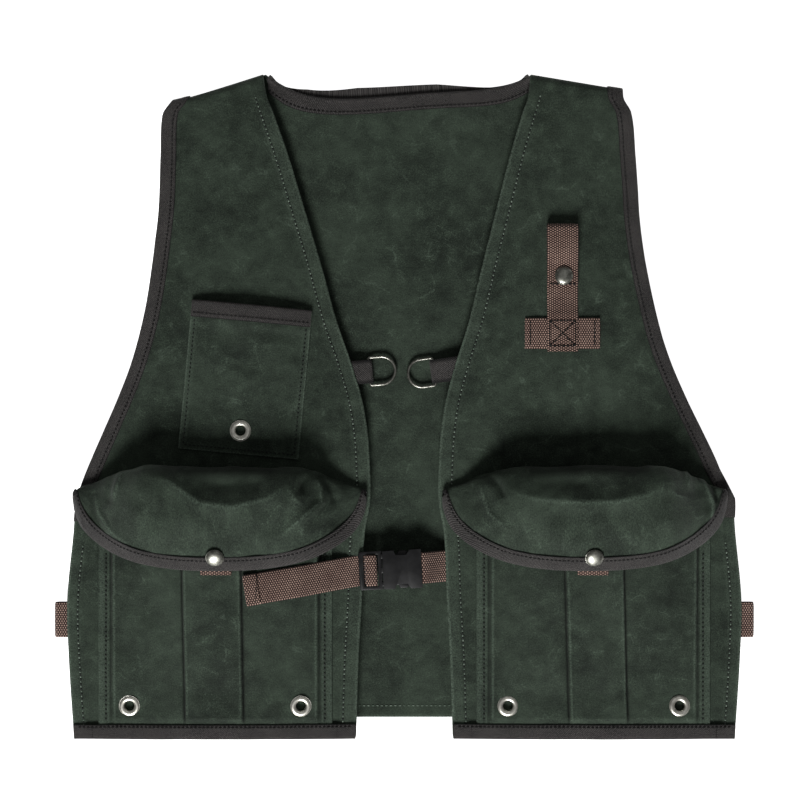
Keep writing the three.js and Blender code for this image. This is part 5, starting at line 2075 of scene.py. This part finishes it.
@dataclass(frozen=True)
class ChestPocket:
    """A patch pocket, turned a little, with a bound mouth and an eyelet at its foot."""

    x: float = -131.0
    y: float = 295.0
    width: float = 98.5
    height: float = 121.8
    turn: float = -5.3
    gape: float = 3.4
    lift: float = 1.3
    tape: float = 13.0
    eyelet_up: float = 19.0
    stitch_in: float = 3.6
    hem_in: float = 5.4
    hole: float = 5.4
    thread: Stitch = Stitch(3.5, 2.4, 1.35)
    cloth_from: float = 3100.0
    swells: tuple[Ripples, ...] = (Ripples(91, 30, 0.3), Ripples(92, 11, 0.1))

    def surface(self, a: Array, b: Array) -> Array:
        """Points of the patch's middle surface.

        Args:
            a: places across, from -1 to 1.
            b: places from the foot, 0, to the mouth, 1.

        Returns:
            The points.
        """
        half = self.width / 2
        along, up = a * half, (b - 0.5) * self.height
        off_edge = smooth(0, 7, half - np.abs(along)) * smooth(0, 7, b * self.height)
        opening = smooth(0.35, 1, b) * np.cos(math.pi / 2 * a)
        tape_from = 1 - self.tape / self.height
        over_tape = (CUT.tape + CUT.tape_gap) * smooth(tape_from - 0.08, tape_from - 0.01, b)
        turn = math.radians(self.turn)
        x = self.x + along * math.cos(turn) - up * math.sin(turn)
        y = self.y + along * math.sin(turn) + up * math.cos(turn)
        seat = (CUT.cloth + CUT.bag_cloth) / 2 + CUT.gap
        z = CUT.front_height(Side.RIGHT, x, y) + seat + over_tape
        return np.stack([x, y, z + off_edge * (self.lift + self.gape * opening)], axis=-1)

    def build(self) -> None:
        """Makes the patch, its tape, its eyelet and its stitching."""
        rim = np.array([1, 0.99, 0.975, 0.955, 0.935, 0.915, 0.89, 0.86])
        a_line = np.concatenate([-rim, np.linspace(-0.82, 0.82, 56), rim[::-1]])
        b_line = np.concatenate([(1 - rim) * 0.8, np.linspace(0.135, 0.99, 66), [1.0]])
        a, b = np.meshgrid(a_line, b_line)
        points = self.surface(a, b)
        swell = waves(points[..., 0], points[..., 1], *self.swells)
        ease = smooth(0, 0.16, 1 - np.abs(a)) * smooth(0, 0.16, b) * (1 - smooth(0.82, 0.88, b))
        points[..., 2] += np.maximum(swell, -0.5) * ease
        from_edge = np.minimum((1 - np.abs(a)) * self.width / 2, b * self.height)
        hem = 1 - smooth(self.hem_in, self.hem_in + 2, from_edge)
        relief = (0.35 * hem - 0.35 * bell(from_edge - self.stitch_in, 0.9)) * (1 - smooth(0.86, 0.89, b))
        rub = 0.7 * bell(from_edge, 0.9) + 0.3 * hem
        cloth = np.stack([points[..., 0] + self.cloth_from, points[..., 1], rub], axis=-1)
        holes = self.hole - np.hypot(a * self.width / 2, b * self.height - self.eyelet_up)
        made = shell(points, CUT.bag_cloth, cloth, relief, holes)
        patch = make_piece("chest_pocket.cloth", made, Finish.CANVAS, ["chest_pocket"])
        self.width * METRES
        self.height * METRES
        eyelet = seated(self.surface, 0, self.eyelet_up / self.height).set(Eyelet().mesh(CUT.bag_cloth))
        make_piece("chest_eyelet", eyelet, Finish.POLISHED, ["chest_pocket_eyelet"])
        self.bind()
        self.stitch()

    def bind(self) -> None:
        """Makes the tape along the mouth and its stitches."""
        over = CUT.bag_cloth / 2 + CUT.tape_gap
        tape_from = 1 - self.tape / self.height
        a, b = np.meshgrid(np.linspace(-1, 1, 60), np.linspace(tape_from, 1, 6), indexing="ij")
        points, along, up, normals = surface_frame(self.surface, a, b)
        out = square_out(up[:, -1], along[:, -1])
        made = folded_tape(points, normals, out, over, over, CUT.tape, CUT.gap)
        make_piece("chest_tape", made, Finish.TAPE, ["chest_pocket_binding"])
        line = lerp(points[:, 1], points[:, 2], 0.3) + normals[:, 1] * (over + CUT.tape)
        thread = TAPE_STITCH.row(line[1:-1], normals[1:-1, 1], TAPE_LIFT)
        make_piece("chest_tape_stitching", thread, Finish.TAPE_THREAD)

    def stitch(self) -> None:
        """Makes the thread down both sides and along the foot."""
        side = 1 - self.stitch_in / (self.width / 2)
        foot = self.stitch_in / self.height
        top = 1 - self.tape / self.height - 0.01
        corners = np.array([[-side, top], [-side, foot], [side, foot], [side, top]])
        rows = []
        for first, last in zip(corners, corners[1:]):
            share = np.linspace(0, 1, 90)[:, None]
            line = lerp(first, last, share)
            points, _, _, normals = surface_frame(self.surface, line[:, 0], line[:, 1])
            rows.append(self.thread.row(points + normals * (CUT.bag_cloth / 2), normals, POCKET_LIFT))
        make_piece("chest_pocket_stitching", joined(rows), Finish.SHADE_THREAD)


@dataclass(frozen=True)
class ChestLoop:
    """A webbing base across the panel, and a strap that folds back over itself to a snap."""

    x: float = 130.0
    top: float = 423.4
    foot: float = 318.3
    end: float = 372.5
    snap_up: float = 380.6
    radius: float = 3.8
    base_y: float = 333.3
    base_length: float = 61.5
    width: float = 25.5

    def level(self, x: Array | float, y: Array | float) -> Array:
        """Height at which webbing lies on the panel.

        Args:
            x: places in the plan.
            y: the same along Y.

        Returns:
            The heights of the webbing's middle.
        """
        seat = (CUT.cloth + CUT.webbing) / 2 + CUT.gap
        return CUT.front_height(Side.LEFT, np.asarray(x, float), np.asarray(y, float)) + seat

    def build(self) -> None:
        """Makes the base, the strap, the snap and their stitching."""
        band = Band(self.width, CUT.webbing, 18)
        x = self.x + between(-self.base_length / 2, self.base_length / 2, 1.0)
        base = np.stack([x, np.full(x.shape, self.base_y), self.level(x, self.base_y)], axis=1)
        webbing_piece("chest_loop_base", band.along(base, Y_WAY, 5))
        layer = CUT.webbing + CUT.gap
        over = self.base_y + self.width / 2
        low = float(self.level(self.x, self.base_y)) + layer
        end = float(self.level(self.x, self.end))
        fold_y = self.top - self.radius - CUT.webbing / 2
        fold_z = float(self.level(self.x, fold_y)) + self.radius
        lower = float(self.level(self.x, over)) + 0.1
        keys = [(self.foot, low), (self.foot + 10, low), (over - 2, low), (over + 2, low - 0.2),
                (over + 8, lower), (self.end - 10, end), (self.end + 14, end)]
        keys += arc(fold_y, fold_z, self.radius, -QUARTER, QUARTER, 9)
        keys += [(self.end + 28, fold_z + self.radius - 0.4), (self.end + 16, end + layer + 0.6),
                 (self.end + 6, end + layer), (self.end, end + layer)]
        path = even_path(np.array([(self.x, y, z) for y, z in keys]), 0.8)
        webbing_piece("chest_loop", band.along(path, X_WAY, 11))
        cap = end + layer + CUT.webbing / 2 + 0.4 + CUT.gap
        place = flat_place(self.x + 1, self.snap_up, cap, 0)
        make_piece("chest_snap.cap", place.set(Snap().mesh()), Finish.NICKEL, ["chest_snap"])
        self.stitch(low, end + layer)

    def stitch(self, low: float, high: float) -> None:
        """Makes the boxed cross, the end rows and the row at the strap's end.

        Args:
            low: height of the strap's middle over the base.
            high: height of its upper layer.
        """
        half, reach = self.width / 2 - 2.2, self.width / 2 - 2.4
        box = [*rectangle(-half, half, -reach, reach), (-half, -reach), (half, reach), (half, -reach),
               (-half, reach)]
        rows = []
        for first, last in zip(box, box[1:]):
            share = np.linspace(0, 1, 30)[:, None]
            flat = lerp(np.array(first), np.array(last), share) + np.array([self.x, self.base_y])
            line = np.column_stack([flat, np.full(len(flat), low + CUT.webbing / 2)])
            rows.append(WEBBING_STITCH.row(line, np.broadcast_to(Z_WAY, line.shape), WEBBING_LIFT))
        for at in (-self.base_length / 2 + 4.4, self.base_length / 2 - 4.4):
            y = self.base_y + np.linspace(-reach, reach, 30)
            z = self.level(self.x + at, self.base_y) + CUT.webbing / 2
            line = np.column_stack([np.full(30, self.x + at), y, np.full(30, float(z))])
            rows.append(WEBBING_STITCH.row(line, np.broadcast_to(Z_WAY, line.shape), WEBBING_LIFT))
        x = self.x + np.linspace(-half, half, 30)
        line = np.column_stack([x, np.full(30, self.end + 1.4), np.full(30, high + CUT.webbing / 2)])
        rows.append(WEBBING_STITCH.row(line, np.broadcast_to(Z_WAY, line.shape), WEBBING_LIFT))
        make_piece("chest_loop_stitching", joined(rows), Finish.TAPE_THREAD)


@dataclass(frozen=True)
class RingAndTab:
    """A D-ring on its bar, and the folded tab that holds it to the front panel's edge."""

    side: Side
    wire: float = 2.5
    height: float = 25.5
    depth: float = 24.0
    up: float = 302.0
    bearing: float = 0.4
    tab_width: float = 19.6
    tab: float = 1.2
    tuck: float = 14.0

    def build(self) -> None:
        """Makes the ring and its tab."""
        own = CUT.of(self.side)
        rise = CUT.back_rise + CUT.cloth / 2 + CUT.gap + self.tab + self.bearing + self.wire / 2
        x = self.side.value * own.ring_bar + float(CUT.lean(self.up / CUT.body_length))
        turn = 180 + own.ring_turn if self.side is Side.LEFT else own.ring_turn
        place = flat_place(x, self.up, rise, turn)
        self.ring(place)
        self.tape(place, own.ring_bar, rise)

    def ring(self, place: Place) -> None:
        """Makes the ring, which turns on its bar.

        Args:
            place: the middle of the bar, with Y along it.
        """
        half = (self.height - self.wire) / 2
        straight = self.depth - self.wire - half
        bow = arc(straight, 0, half, QUARTER, -QUARTER, 40)
        bend = 1.6
        corner = [(bend - bend * math.sin(t), -half + bend - bend * math.cos(t))
                  for t in np.linspace(0, QUARTER, 8)]
        keys = [*bow, *corner, *[(u, -v) for u, v in reversed(corner)]]
        path = np.array([(u, v, 0.0) for u, v in keys])
        path = even_path(np.concatenate([path, path[:1]]), 0.8)[:-1]
        made = place.set(wire(path, Z_WAY, self.wire / 2))
        node = f"d_ring_{self.side.label}"
        make_piece(f"{node}.wire", made, Finish.NICKEL, [node], body=f"ring_{self.side.label}")

    def tape(self, place: Place, ring_bar: float, rise: float) -> None:
        """Makes the tab, folded round the bar.

        Args:
            place: the middle of the bar.
            ring_bar: how far the bar lies from the centre line.
            rise: the bar's height.
        """
        radius = self.wire / 2 + self.bearing + self.tab / 2
        to_edge = float(CUT.centre(self.up / CUT.body_length)) - ring_bar - 2
        upper = CUT.front_rise - (CUT.cloth + self.tab) / 2 - CUT.gap - rise
        lower = upper - self.tab - CUT.gap
        wrap = arc(0, 0, radius, QUARTER, -QUARTER, 11)
        keys = [(-to_edge - self.tuck, upper), (-to_edge, upper), *wrap, (-to_edge * 0.6, -radius * 0.7),
                (-to_edge - 3, lower), (-to_edge - self.tuck, lower)]
        path = even_path(np.array([(u, 0.0, w) for u, w in keys]), 0.6)
        made = place.set(Band(self.tab_width, self.tab, 16).along(path, Y_WAY, 7))
        node = f"ring_tab_{self.side.label}"
        make_piece(f"{node}.tape", made, Finish.TAPE, [node])


@dataclass(frozen=True)
class Moulding:
    """Cuts and rounds a moulded part out of flat outlines.

    Attributes:
        bevel: radius on its edges.
    """

    bevel: float = 0.7

    def prism(self, outline: Sequence[tuple[float, float]], low: float, high: float) -> bpy.types.Object:
        """A block with an outline in the plan.

        Args:
            outline: its corners, in order.
            low: height of its lower face.
            high: height of its upper face.

        Returns:
            The block.
        """
        count = len(outline)
        points = [(x, y, z) for z in (low, high) for x, y in outline]
        walls = [[i, (i + 1) % count, count + (i + 1) % count, count + i] for i in range(count)]
        mesh = bpy.data.meshes.new("blank")
        mesh.from_pydata(points, [], [list(range(count))[::-1], list(range(count, 2 * count)), *walls])
        return add_object("blank", mesh)

    def carve(self, body: bpy.types.Object, adds: Sequence[bpy.types.Object],
              cuts: Sequence[bpy.types.Object]) -> Meshed:
        """Joins and cuts blocks, rounds the edges and hands back the mesh.

        Args:
            body: the first block.
            adds: blocks to join to it.
            cuts: blocks to cut away.

        Returns:
            The mesh in its own frame.
        """
        for operation, tools in (("UNION", adds), ("DIFFERENCE", cuts)):
            for tool in tools:
                boolean = body.modifiers.new("boolean", "BOOLEAN")
                boolean.operation, boolean.object, boolean.solver = operation, tool, "EXACT"
        bevel = body.modifiers.new("bevel", "BEVEL")
        bevel.width, bevel.segments, bevel.limit_method = self.bevel, 3, "ANGLE"
        bevel.angle_limit = math.radians(35)
        bpy.context.view_layer.update()
        graph = bpy.context.evaluated_depsgraph_get()
        mesh = body.evaluated_get(graph).to_mesh()
        points = np.array([v.co for v in mesh.vertices], float)
        faces = [list(face.vertices) for face in mesh.polygons]
        body.evaluated_get(graph).to_mesh_clear()
        for blank in (body, *adds, *cuts):
            bpy.data.objects.remove(blank)
        quads = np.array([face for face in faces if len(face) == 4], int).reshape(-1, 4)
        return Meshed(points, quads, points.copy(), [face for face in faces if len(face) != 4])


def rectangle(x0: float, x1: float, y0: float, y1: float) -> list[tuple[float, float]]:
    """A rectangle's corners."""
    return [(x0, y0), (x1, y0), (x1, y1), (x0, y1)]


@dataclass(frozen=True)
class FrontStrap:
    """The strap across the front: a side-release buckle and its two pieces of webbing."""

    x: float = -17.7
    y: float = 138.5
    turn: float = 3.0
    width: float = 31.8
    thickness: float = 10.0
    body: float = 32.0
    cavity: float = 23.0
    wall: float = 2.2
    notch_from: float = 10.7
    notch_to: float = 22.0
    notch: float = 4.0
    bar: float = 2.0
    outer_bar: float = 4.2
    slot: float = 3.5
    inner_bar: float = 4.8
    base: float = 3.5
    ladder: float = 2.4
    arm: float = 2.9
    tail: float = 92.0
    tail_slope: float = -6.0
    tail_climb: float = 0.5
    tail_hem: tuple[tuple[float, float], ...] = (
        (9.5, 0.95), (4, 1.25), (0.8, 1.25), (-0.7, 0.9), (-1.1, 0.0))
    tuck: float = 30.0
    webbing: float = 25.5

    @property
    def rise(self) -> float:
        """Height of the buckle's middle."""
        return CUT.front_rise + CUT.cloth / 2 + 2 * CUT.gap + CUT.webbing + self.ladder / 2

    @property
    def place(self) -> Place:
        """The buckle's frame: X runs from the mouth towards the wearer's left."""
        return flat_place(self.x, self.y, self.rise, self.turn)

    def receiver(self) -> None:
        """Makes the buckle's hollow half."""
        half, deep = self.width / 2, self.thickness / 2
        mould = Moulding(0.7)
        inner = half - self.notch
        outline = [
            (0.0, -half + 0.4), (self.notch_from - 1.2, -half), (self.notch_from, -inner - 0.6),
            (self.notch_from + 1, -inner), (self.notch_to - 2.2, -inner), (self.notch_to + 0.4, -half),
            (self.body, -half), (self.body, half), (self.notch_to + 0.4, half),
            (self.notch_to - 2.2, inner), (self.notch_from + 1, inner), (self.notch_from, inner + 0.6),
            (self.notch_from - 1.2, half),
            (0.0, half - 0.4),
        ]
        body = mould.prism(outline, -deep, deep)
        bar_from = self.body - self.bar - CUT.gap
        wide, roof = half - self.wall, deep - 1.9
        cuts = [
            mould.prism(rectangle(x0, x1, -wide, wide), low, high)
            for x0, x1, low, high in (
                (-1, self.cavity, -deep + self.wall, deep - self.wall),
                (self.cavity + self.wall, bar_from, -deep - 1, roof),
                (bar_from - 1, self.body + 1, -deep - 1, -self.bar / 2),
                (bar_from - 1, self.body + 1, self.bar / 2, roof),
            )
        ]
        made = mould.carve(body, [], cuts)
        make_piece("buckle_receiver", self.place.set(made), Finish.PLASTIC, ["buckle_female"], sharp=40)

    def ladder_half(self) -> None:
        """Makes the buckle's pronged half with its two bars."""
        half = self.width / 2
        mould = Moulding(0.55)
        length = self.outer_bar + 2 * self.slot + self.inner_bar + self.base
        far = -length - CUT.gap
        first = far + self.outer_bar
        second = first + self.slot + self.inner_bar
        corner = 1.6
        outline = [
            (far, -half + corner), (far + corner, -half), (-CUT.gap, -half),
            (-CUT.gap, half), (far + corner, half), (far, half - corner),
        ]
        plate = mould.prism(outline, -self.ladder / 2, self.ladder / 2)
        inside = half - self.arm
        slots = [mould.prism(rectangle(at, at + self.slot, -inside, inside), -5, 5)
                 for at in (first, second)]
        made = [mould.carve(plate, [], slots)]
        reach = half - self.wall - CUT.gap
        for sign in (-1, 1):
            prong = [
                (-1.5, reach - 4), (self.notch_to - 3, reach - 4), (self.notch_to - 1.4, reach - 2),
                (self.notch_to - 1, reach + 1.2), (self.notch_to - 3, reach + 2),
                (self.notch_from + 3.4, reach + 2), (self.notch_from + 2, reach + 0.8),
                (self.notch_from + 1.6, reach - 0.6), (-1.5, reach),
            ]
            turned_prong = [(u, sign * v) for u, v in prong][:: sign]
            made.append(mould.carve(mould.prism(turned_prong, -1.9, 1.9), [], []))
        tongue = mould.prism(rectangle(-1.5, self.notch_to - 4, -2.5, 2.5), -1.6, 1.6)
        made.append(mould.carve(tongue, [], []))
        make_piece("buckle_prongs", self.place.set(joined(made)), Finish.PLASTIC, ["buckle_male"], sharp=40)

    def rest_at(self, a: float, across: float) -> float:
        """Height at which the tail lies on the cloth below it.

        Args:
            a: the place along the strap, in the buckle's frame.
            across: the place across it.

        Returns:
            The height, in the buckle's frame.
        """
        pocket = CargoPocket(Side.RIGHT)
        heights = []
        for share in (-1, -0.5, 0, 0.5, 1):
            spot = self.place.put(np.array([a, across + share * self.webbing / 2, 0.0]))
            out = -spot[0] - pocket.centre
            on_bag = -out < pocket.face / 2 + pocket.flange
            bag = float(pocket.rise(out, spot[1])) + CUT.bag_cloth / 2
            panel = float(CUT.front_height(Side.RIGHT, spot[0], spot[1])) + CUT.cloth / 2 + 0.8
            heights.append(bag if on_bag else panel)
        return max(heights) + 2 * CUT.gap + CUT.webbing / 2 - self.rise

    def right_webbing(self) -> None:
        """Makes the wearer's right strap, from under the panel, round the ladder, to its free tail."""
        back = -(self.base + CUT.gap)
        over = self.ladder / 2 + CUT.gap + CUT.webbing / 2
        layer = CUT.webbing + CUT.cloth + 2 * CUT.gap
        inner = back - self.slot / 2
        outer = inner - self.inner_bar - self.slot
        edge = outer - self.slot / 2 - self.outer_bar
        start = -float(CUT.centre(self.y / CUT.body_length)) - self.x
        slope = math.tan(math.radians(self.tail_slope))
        keys = [
            (start - self.tuck, 0, -over - layer), (outer, 0, -over - layer),
            (inner - 1.2, 0, -over - layer * 0.95), (inner, 0, -over - layer * 0.6), (inner, 0, over - 0.9),
            (inner - 1.4, 0, over), (outer + 1.4, 0, over), (outer, 0, over - 0.9),
            (outer, 0, -over + 0.9), (outer - 1.4, 0, -over), (edge - 2, 0, -over),
        ]
        lay_from = edge - self.tail * self.tail_climb
        stops = np.linspace(lay_from, edge - self.tail, 7)
        keys += [(a, (edge - a) * slope, self.rest_at(a, (edge - a) * slope)) for a in stops]
        path = even_path(np.array(keys, float), 0.8)
        band = Band(self.webbing, CUT.webbing, 18)
        made = [band.along(path, Y_WAY, 17)]
        end = np.array(keys[-1])
        hem = np.array([end + (a, -a * slope, h) for a, h in self.tail_hem])
        hem[:, 2] += CUT.webbing * 0.35
        made.append(band.along(even_path(hem, 0.6), np.array([slope, 1.0, 0.0]), 23))
        webbing_piece("front_strap_right", self.place.set(joined(made)))
        half = self.webbing / 2 - 1.8
        places = np.linspace(-half, half, 30)
        row = np.array([end + (8.2 - slope * v, v - 8.2 * slope, 2.35) for v in places])
        thread = self.place.set(Stitch(2.6, 2.2, 0.8).row(row, np.broadcast_to(Z_WAY, row.shape), 0.05))
        make_piece("strap_tail_stitching", thread, Finish.TAPE_THREAD)

    def left_webbing(self) -> None:
        """Makes the wearer's left strap, looped round the receiver's bar."""
        at = self.body - self.bar / 2 - CUT.gap
        radius = self.bar / math.sqrt(2) + CUT.gap + CUT.webbing / 2
        under = CUT.front_rise - CUT.cloth / 2 - CUT.gap - CUT.webbing / 2 - self.rise
        edge = float(CUT.centre(self.y / CUT.body_length)) - self.x
        end = edge + self.tuck
        wrap = arc(at, 0, radius, QUARTER, 3 * QUARTER, 9)
        keys = [(end, under), (edge - 2, under), (at + 4, radius), *wrap, (at + 3, -radius),
                (edge - 4, under - CUT.webbing - CUT.gap), (end, under - CUT.webbing - CUT.gap)]
        path = even_path(np.array([(u, 0.0, w) for u, w in keys]), 0.8)
        made = Band(self.webbing, CUT.webbing, 18).along(path, Y_WAY, 31)
        webbing_piece("front_strap_left", self.place.set(made))

    def build(self) -> None:
        """Makes the buckle and its webbing."""
        self.receiver()
        self.ladder_half()
        self.right_webbing()
        self.left_webbing()


@dataclass(frozen=True)
class SideStrap:
    """Folded webbing that joins the front and back at one side."""

    side: Side
    width: float = 29.0
    up: float = 97.0
    reach: float = 11.5
    tuck: float = 30.0

    def build(self) -> None:
        """Makes the strap."""
        share = self.up / CUT.body_length
        edge = float(CUT.edge(self.side, share))
        sign = self.side.value
        under = CUT.cloth / 2 + CUT.gap + CUT.webbing / 2
        high = float(CUT.front_height(self.side, np.array(sign * (edge - 4)), np.array(self.up))) - under
        low = CUT.back_rise + CUT.back_edge_lift + under
        radius, middle = (high - low) / 2, (high + low) / 2
        turn_at = edge + self.reach - radius - CUT.webbing / 2
        fold = arc(turn_at, middle, radius, QUARTER, -QUARTER, 11)
        keys = [(edge - self.tuck, high), *fold, (edge - self.tuck, low)]
        path = even_path(np.array([(sign * u, self.up, w) for u, w in keys]), 0.8)
        made = Band(self.width, CUT.webbing, 18).along(path, Y_WAY, 41 + 9 * sign)
        webbing_piece(f"side_strap_{self.side.label}", made)


@dataclass(frozen=True)
class Studio:
    """The white table, its soft lights and the camera straight above.

    Attributes:
        field_width: how wide the picture is at the vest, in millimetres.
        lens: focal length, for a 36 mm sensor.
        aim_x: where the camera looks, in the row's frame, in millimetres.
        aim_y: the same along Y.
        level: height of the plane that the field is measured at.
        key: power of the low light at the hems, in watts.
        fill: power of the soft light overhead, in watts.
        surround: brightness of the white room.
        floor_glow: how much the white table shines by itself.
    """

    field_width: float = 660.0
    lens: float = 100.0
    aim_x: float = -3.6
    aim_y: float = 4.2
    level: float = 12.0
    key: float = 430.0
    fill: float = 3.0
    surround: float = 0.14
    floor_glow: float = 1.0

    def camera(self) -> None:
        """Makes the camera."""
        sensor = 36.0
        data = bpy.data.cameras.new("camera")
        data.lens, data.sensor_width = self.lens, sensor
        data.clip_start, data.clip_end = 0.01, 50
        eye = add_object("camera", data)
        height = self.level + self.field_width * self.lens / sensor
        eye.location = np.array([self.aim_x, self.aim_y, height]) * METRES
        bpy.context.scene.camera = eye

    def floor(self) -> None:
        """Makes the pale floor."""
        mesh = bpy.data.meshes.new("floor")
        reach, step = 3.0, 0.5
        count = int(2 * reach / step) + 1
        line = np.linspace(-reach, reach, count)
        x, y = np.meshgrid(line, line)
        points = np.stack([x, y, np.full(x.shape, -0.0004)], axis=-1).reshape(-1, 3)
        mesh.from_pydata(points.tolist(), [], grid_quads(count, count).tolist())
        n = Nodes("pale_floor")
        place = n.place()
        mottle = n.noise(place, 3.0, 2, 0.5)
        base = n.mix(mottle, (246, 246, 246), (250, 250, 250))
        mesh.materials.append(n.finish({
            "Base Color": base, "Roughness": 0.9, "Specular IOR Level": 0.1,
            "Emission Color": (1, 1, 1, 1), "Emission Strength": self.floor_glow,
        }))
        add_object("floor", mesh)

    def light(self, name: str, place: tuple[float, float, float], size: float, power: float) -> None:
        """Makes one soft square light that looks at the vest.

        Args:
            name: the light's name.
            place: where it stands, in metres.
            size: its width, in metres.
            power: in watts.
        """
        data = bpy.data.lights.new(name, "AREA")
        data.shape, data.size, data.energy = "SQUARE", size, power
        lamp = add_object(name, data)
        lamp.location = place
        lamp.rotation_euler = (-Vector(place)).to_track_quat("-Z", "Y").to_euler()

    def build(self) -> None:
        """Makes the camera, the floor and the lights."""
        self.camera()
        self.floor()
        self.light("key", (-0.7, -4.2, 3.2), 1.9, self.key)
        self.light("fill", (0.5, 1.0, 2.4), 2.0, self.fill)
        world = bpy.data.worlds.new("studio")
        world.use_nodes = True
        background = world.node_tree.nodes["Background"]
        background.inputs["Color"].default_value = (1, 1, 1, 1)
        background.inputs["Strength"].default_value = self.surround
        bpy.context.scene.world = world
        bpy.context.scene.view_settings.view_transform = "Standard"


def main() -> None:
    """Builds the vest and the studio, piece by piece."""
    logging.basicConfig(level=logging.INFO, format="%(name)s %(message)s")
    Studio().build()
    BackPanel().build()
    pockets = (CargoPocket(Side.RIGHT, pleat_slant=-0.01), CargoPocket(Side.LEFT, pleat_slant=0.037))
    flaps = (
        Flap(Side.RIGHT, centre=151.9, width=237.8, creases=RIGHT_FLAP_CREASES),
        Flap(Side.LEFT, centre=148.3, width=230.6, creases=LEFT_FLAP_CREASES),
    )
    for side, pocket, flap in zip(Side, pockets, flaps):
        FrontPanel(side).build()
        pocket.build()
        flap.build()
        RingAndTab(side).build()
        SideStrap(side).build()
    Tapes().build()
    ChestPocket().build()
    ChestLoop().build()
    FrontStrap().build()
    bpy.context.view_layer.update()


if __name__ == "__main__":
    main()
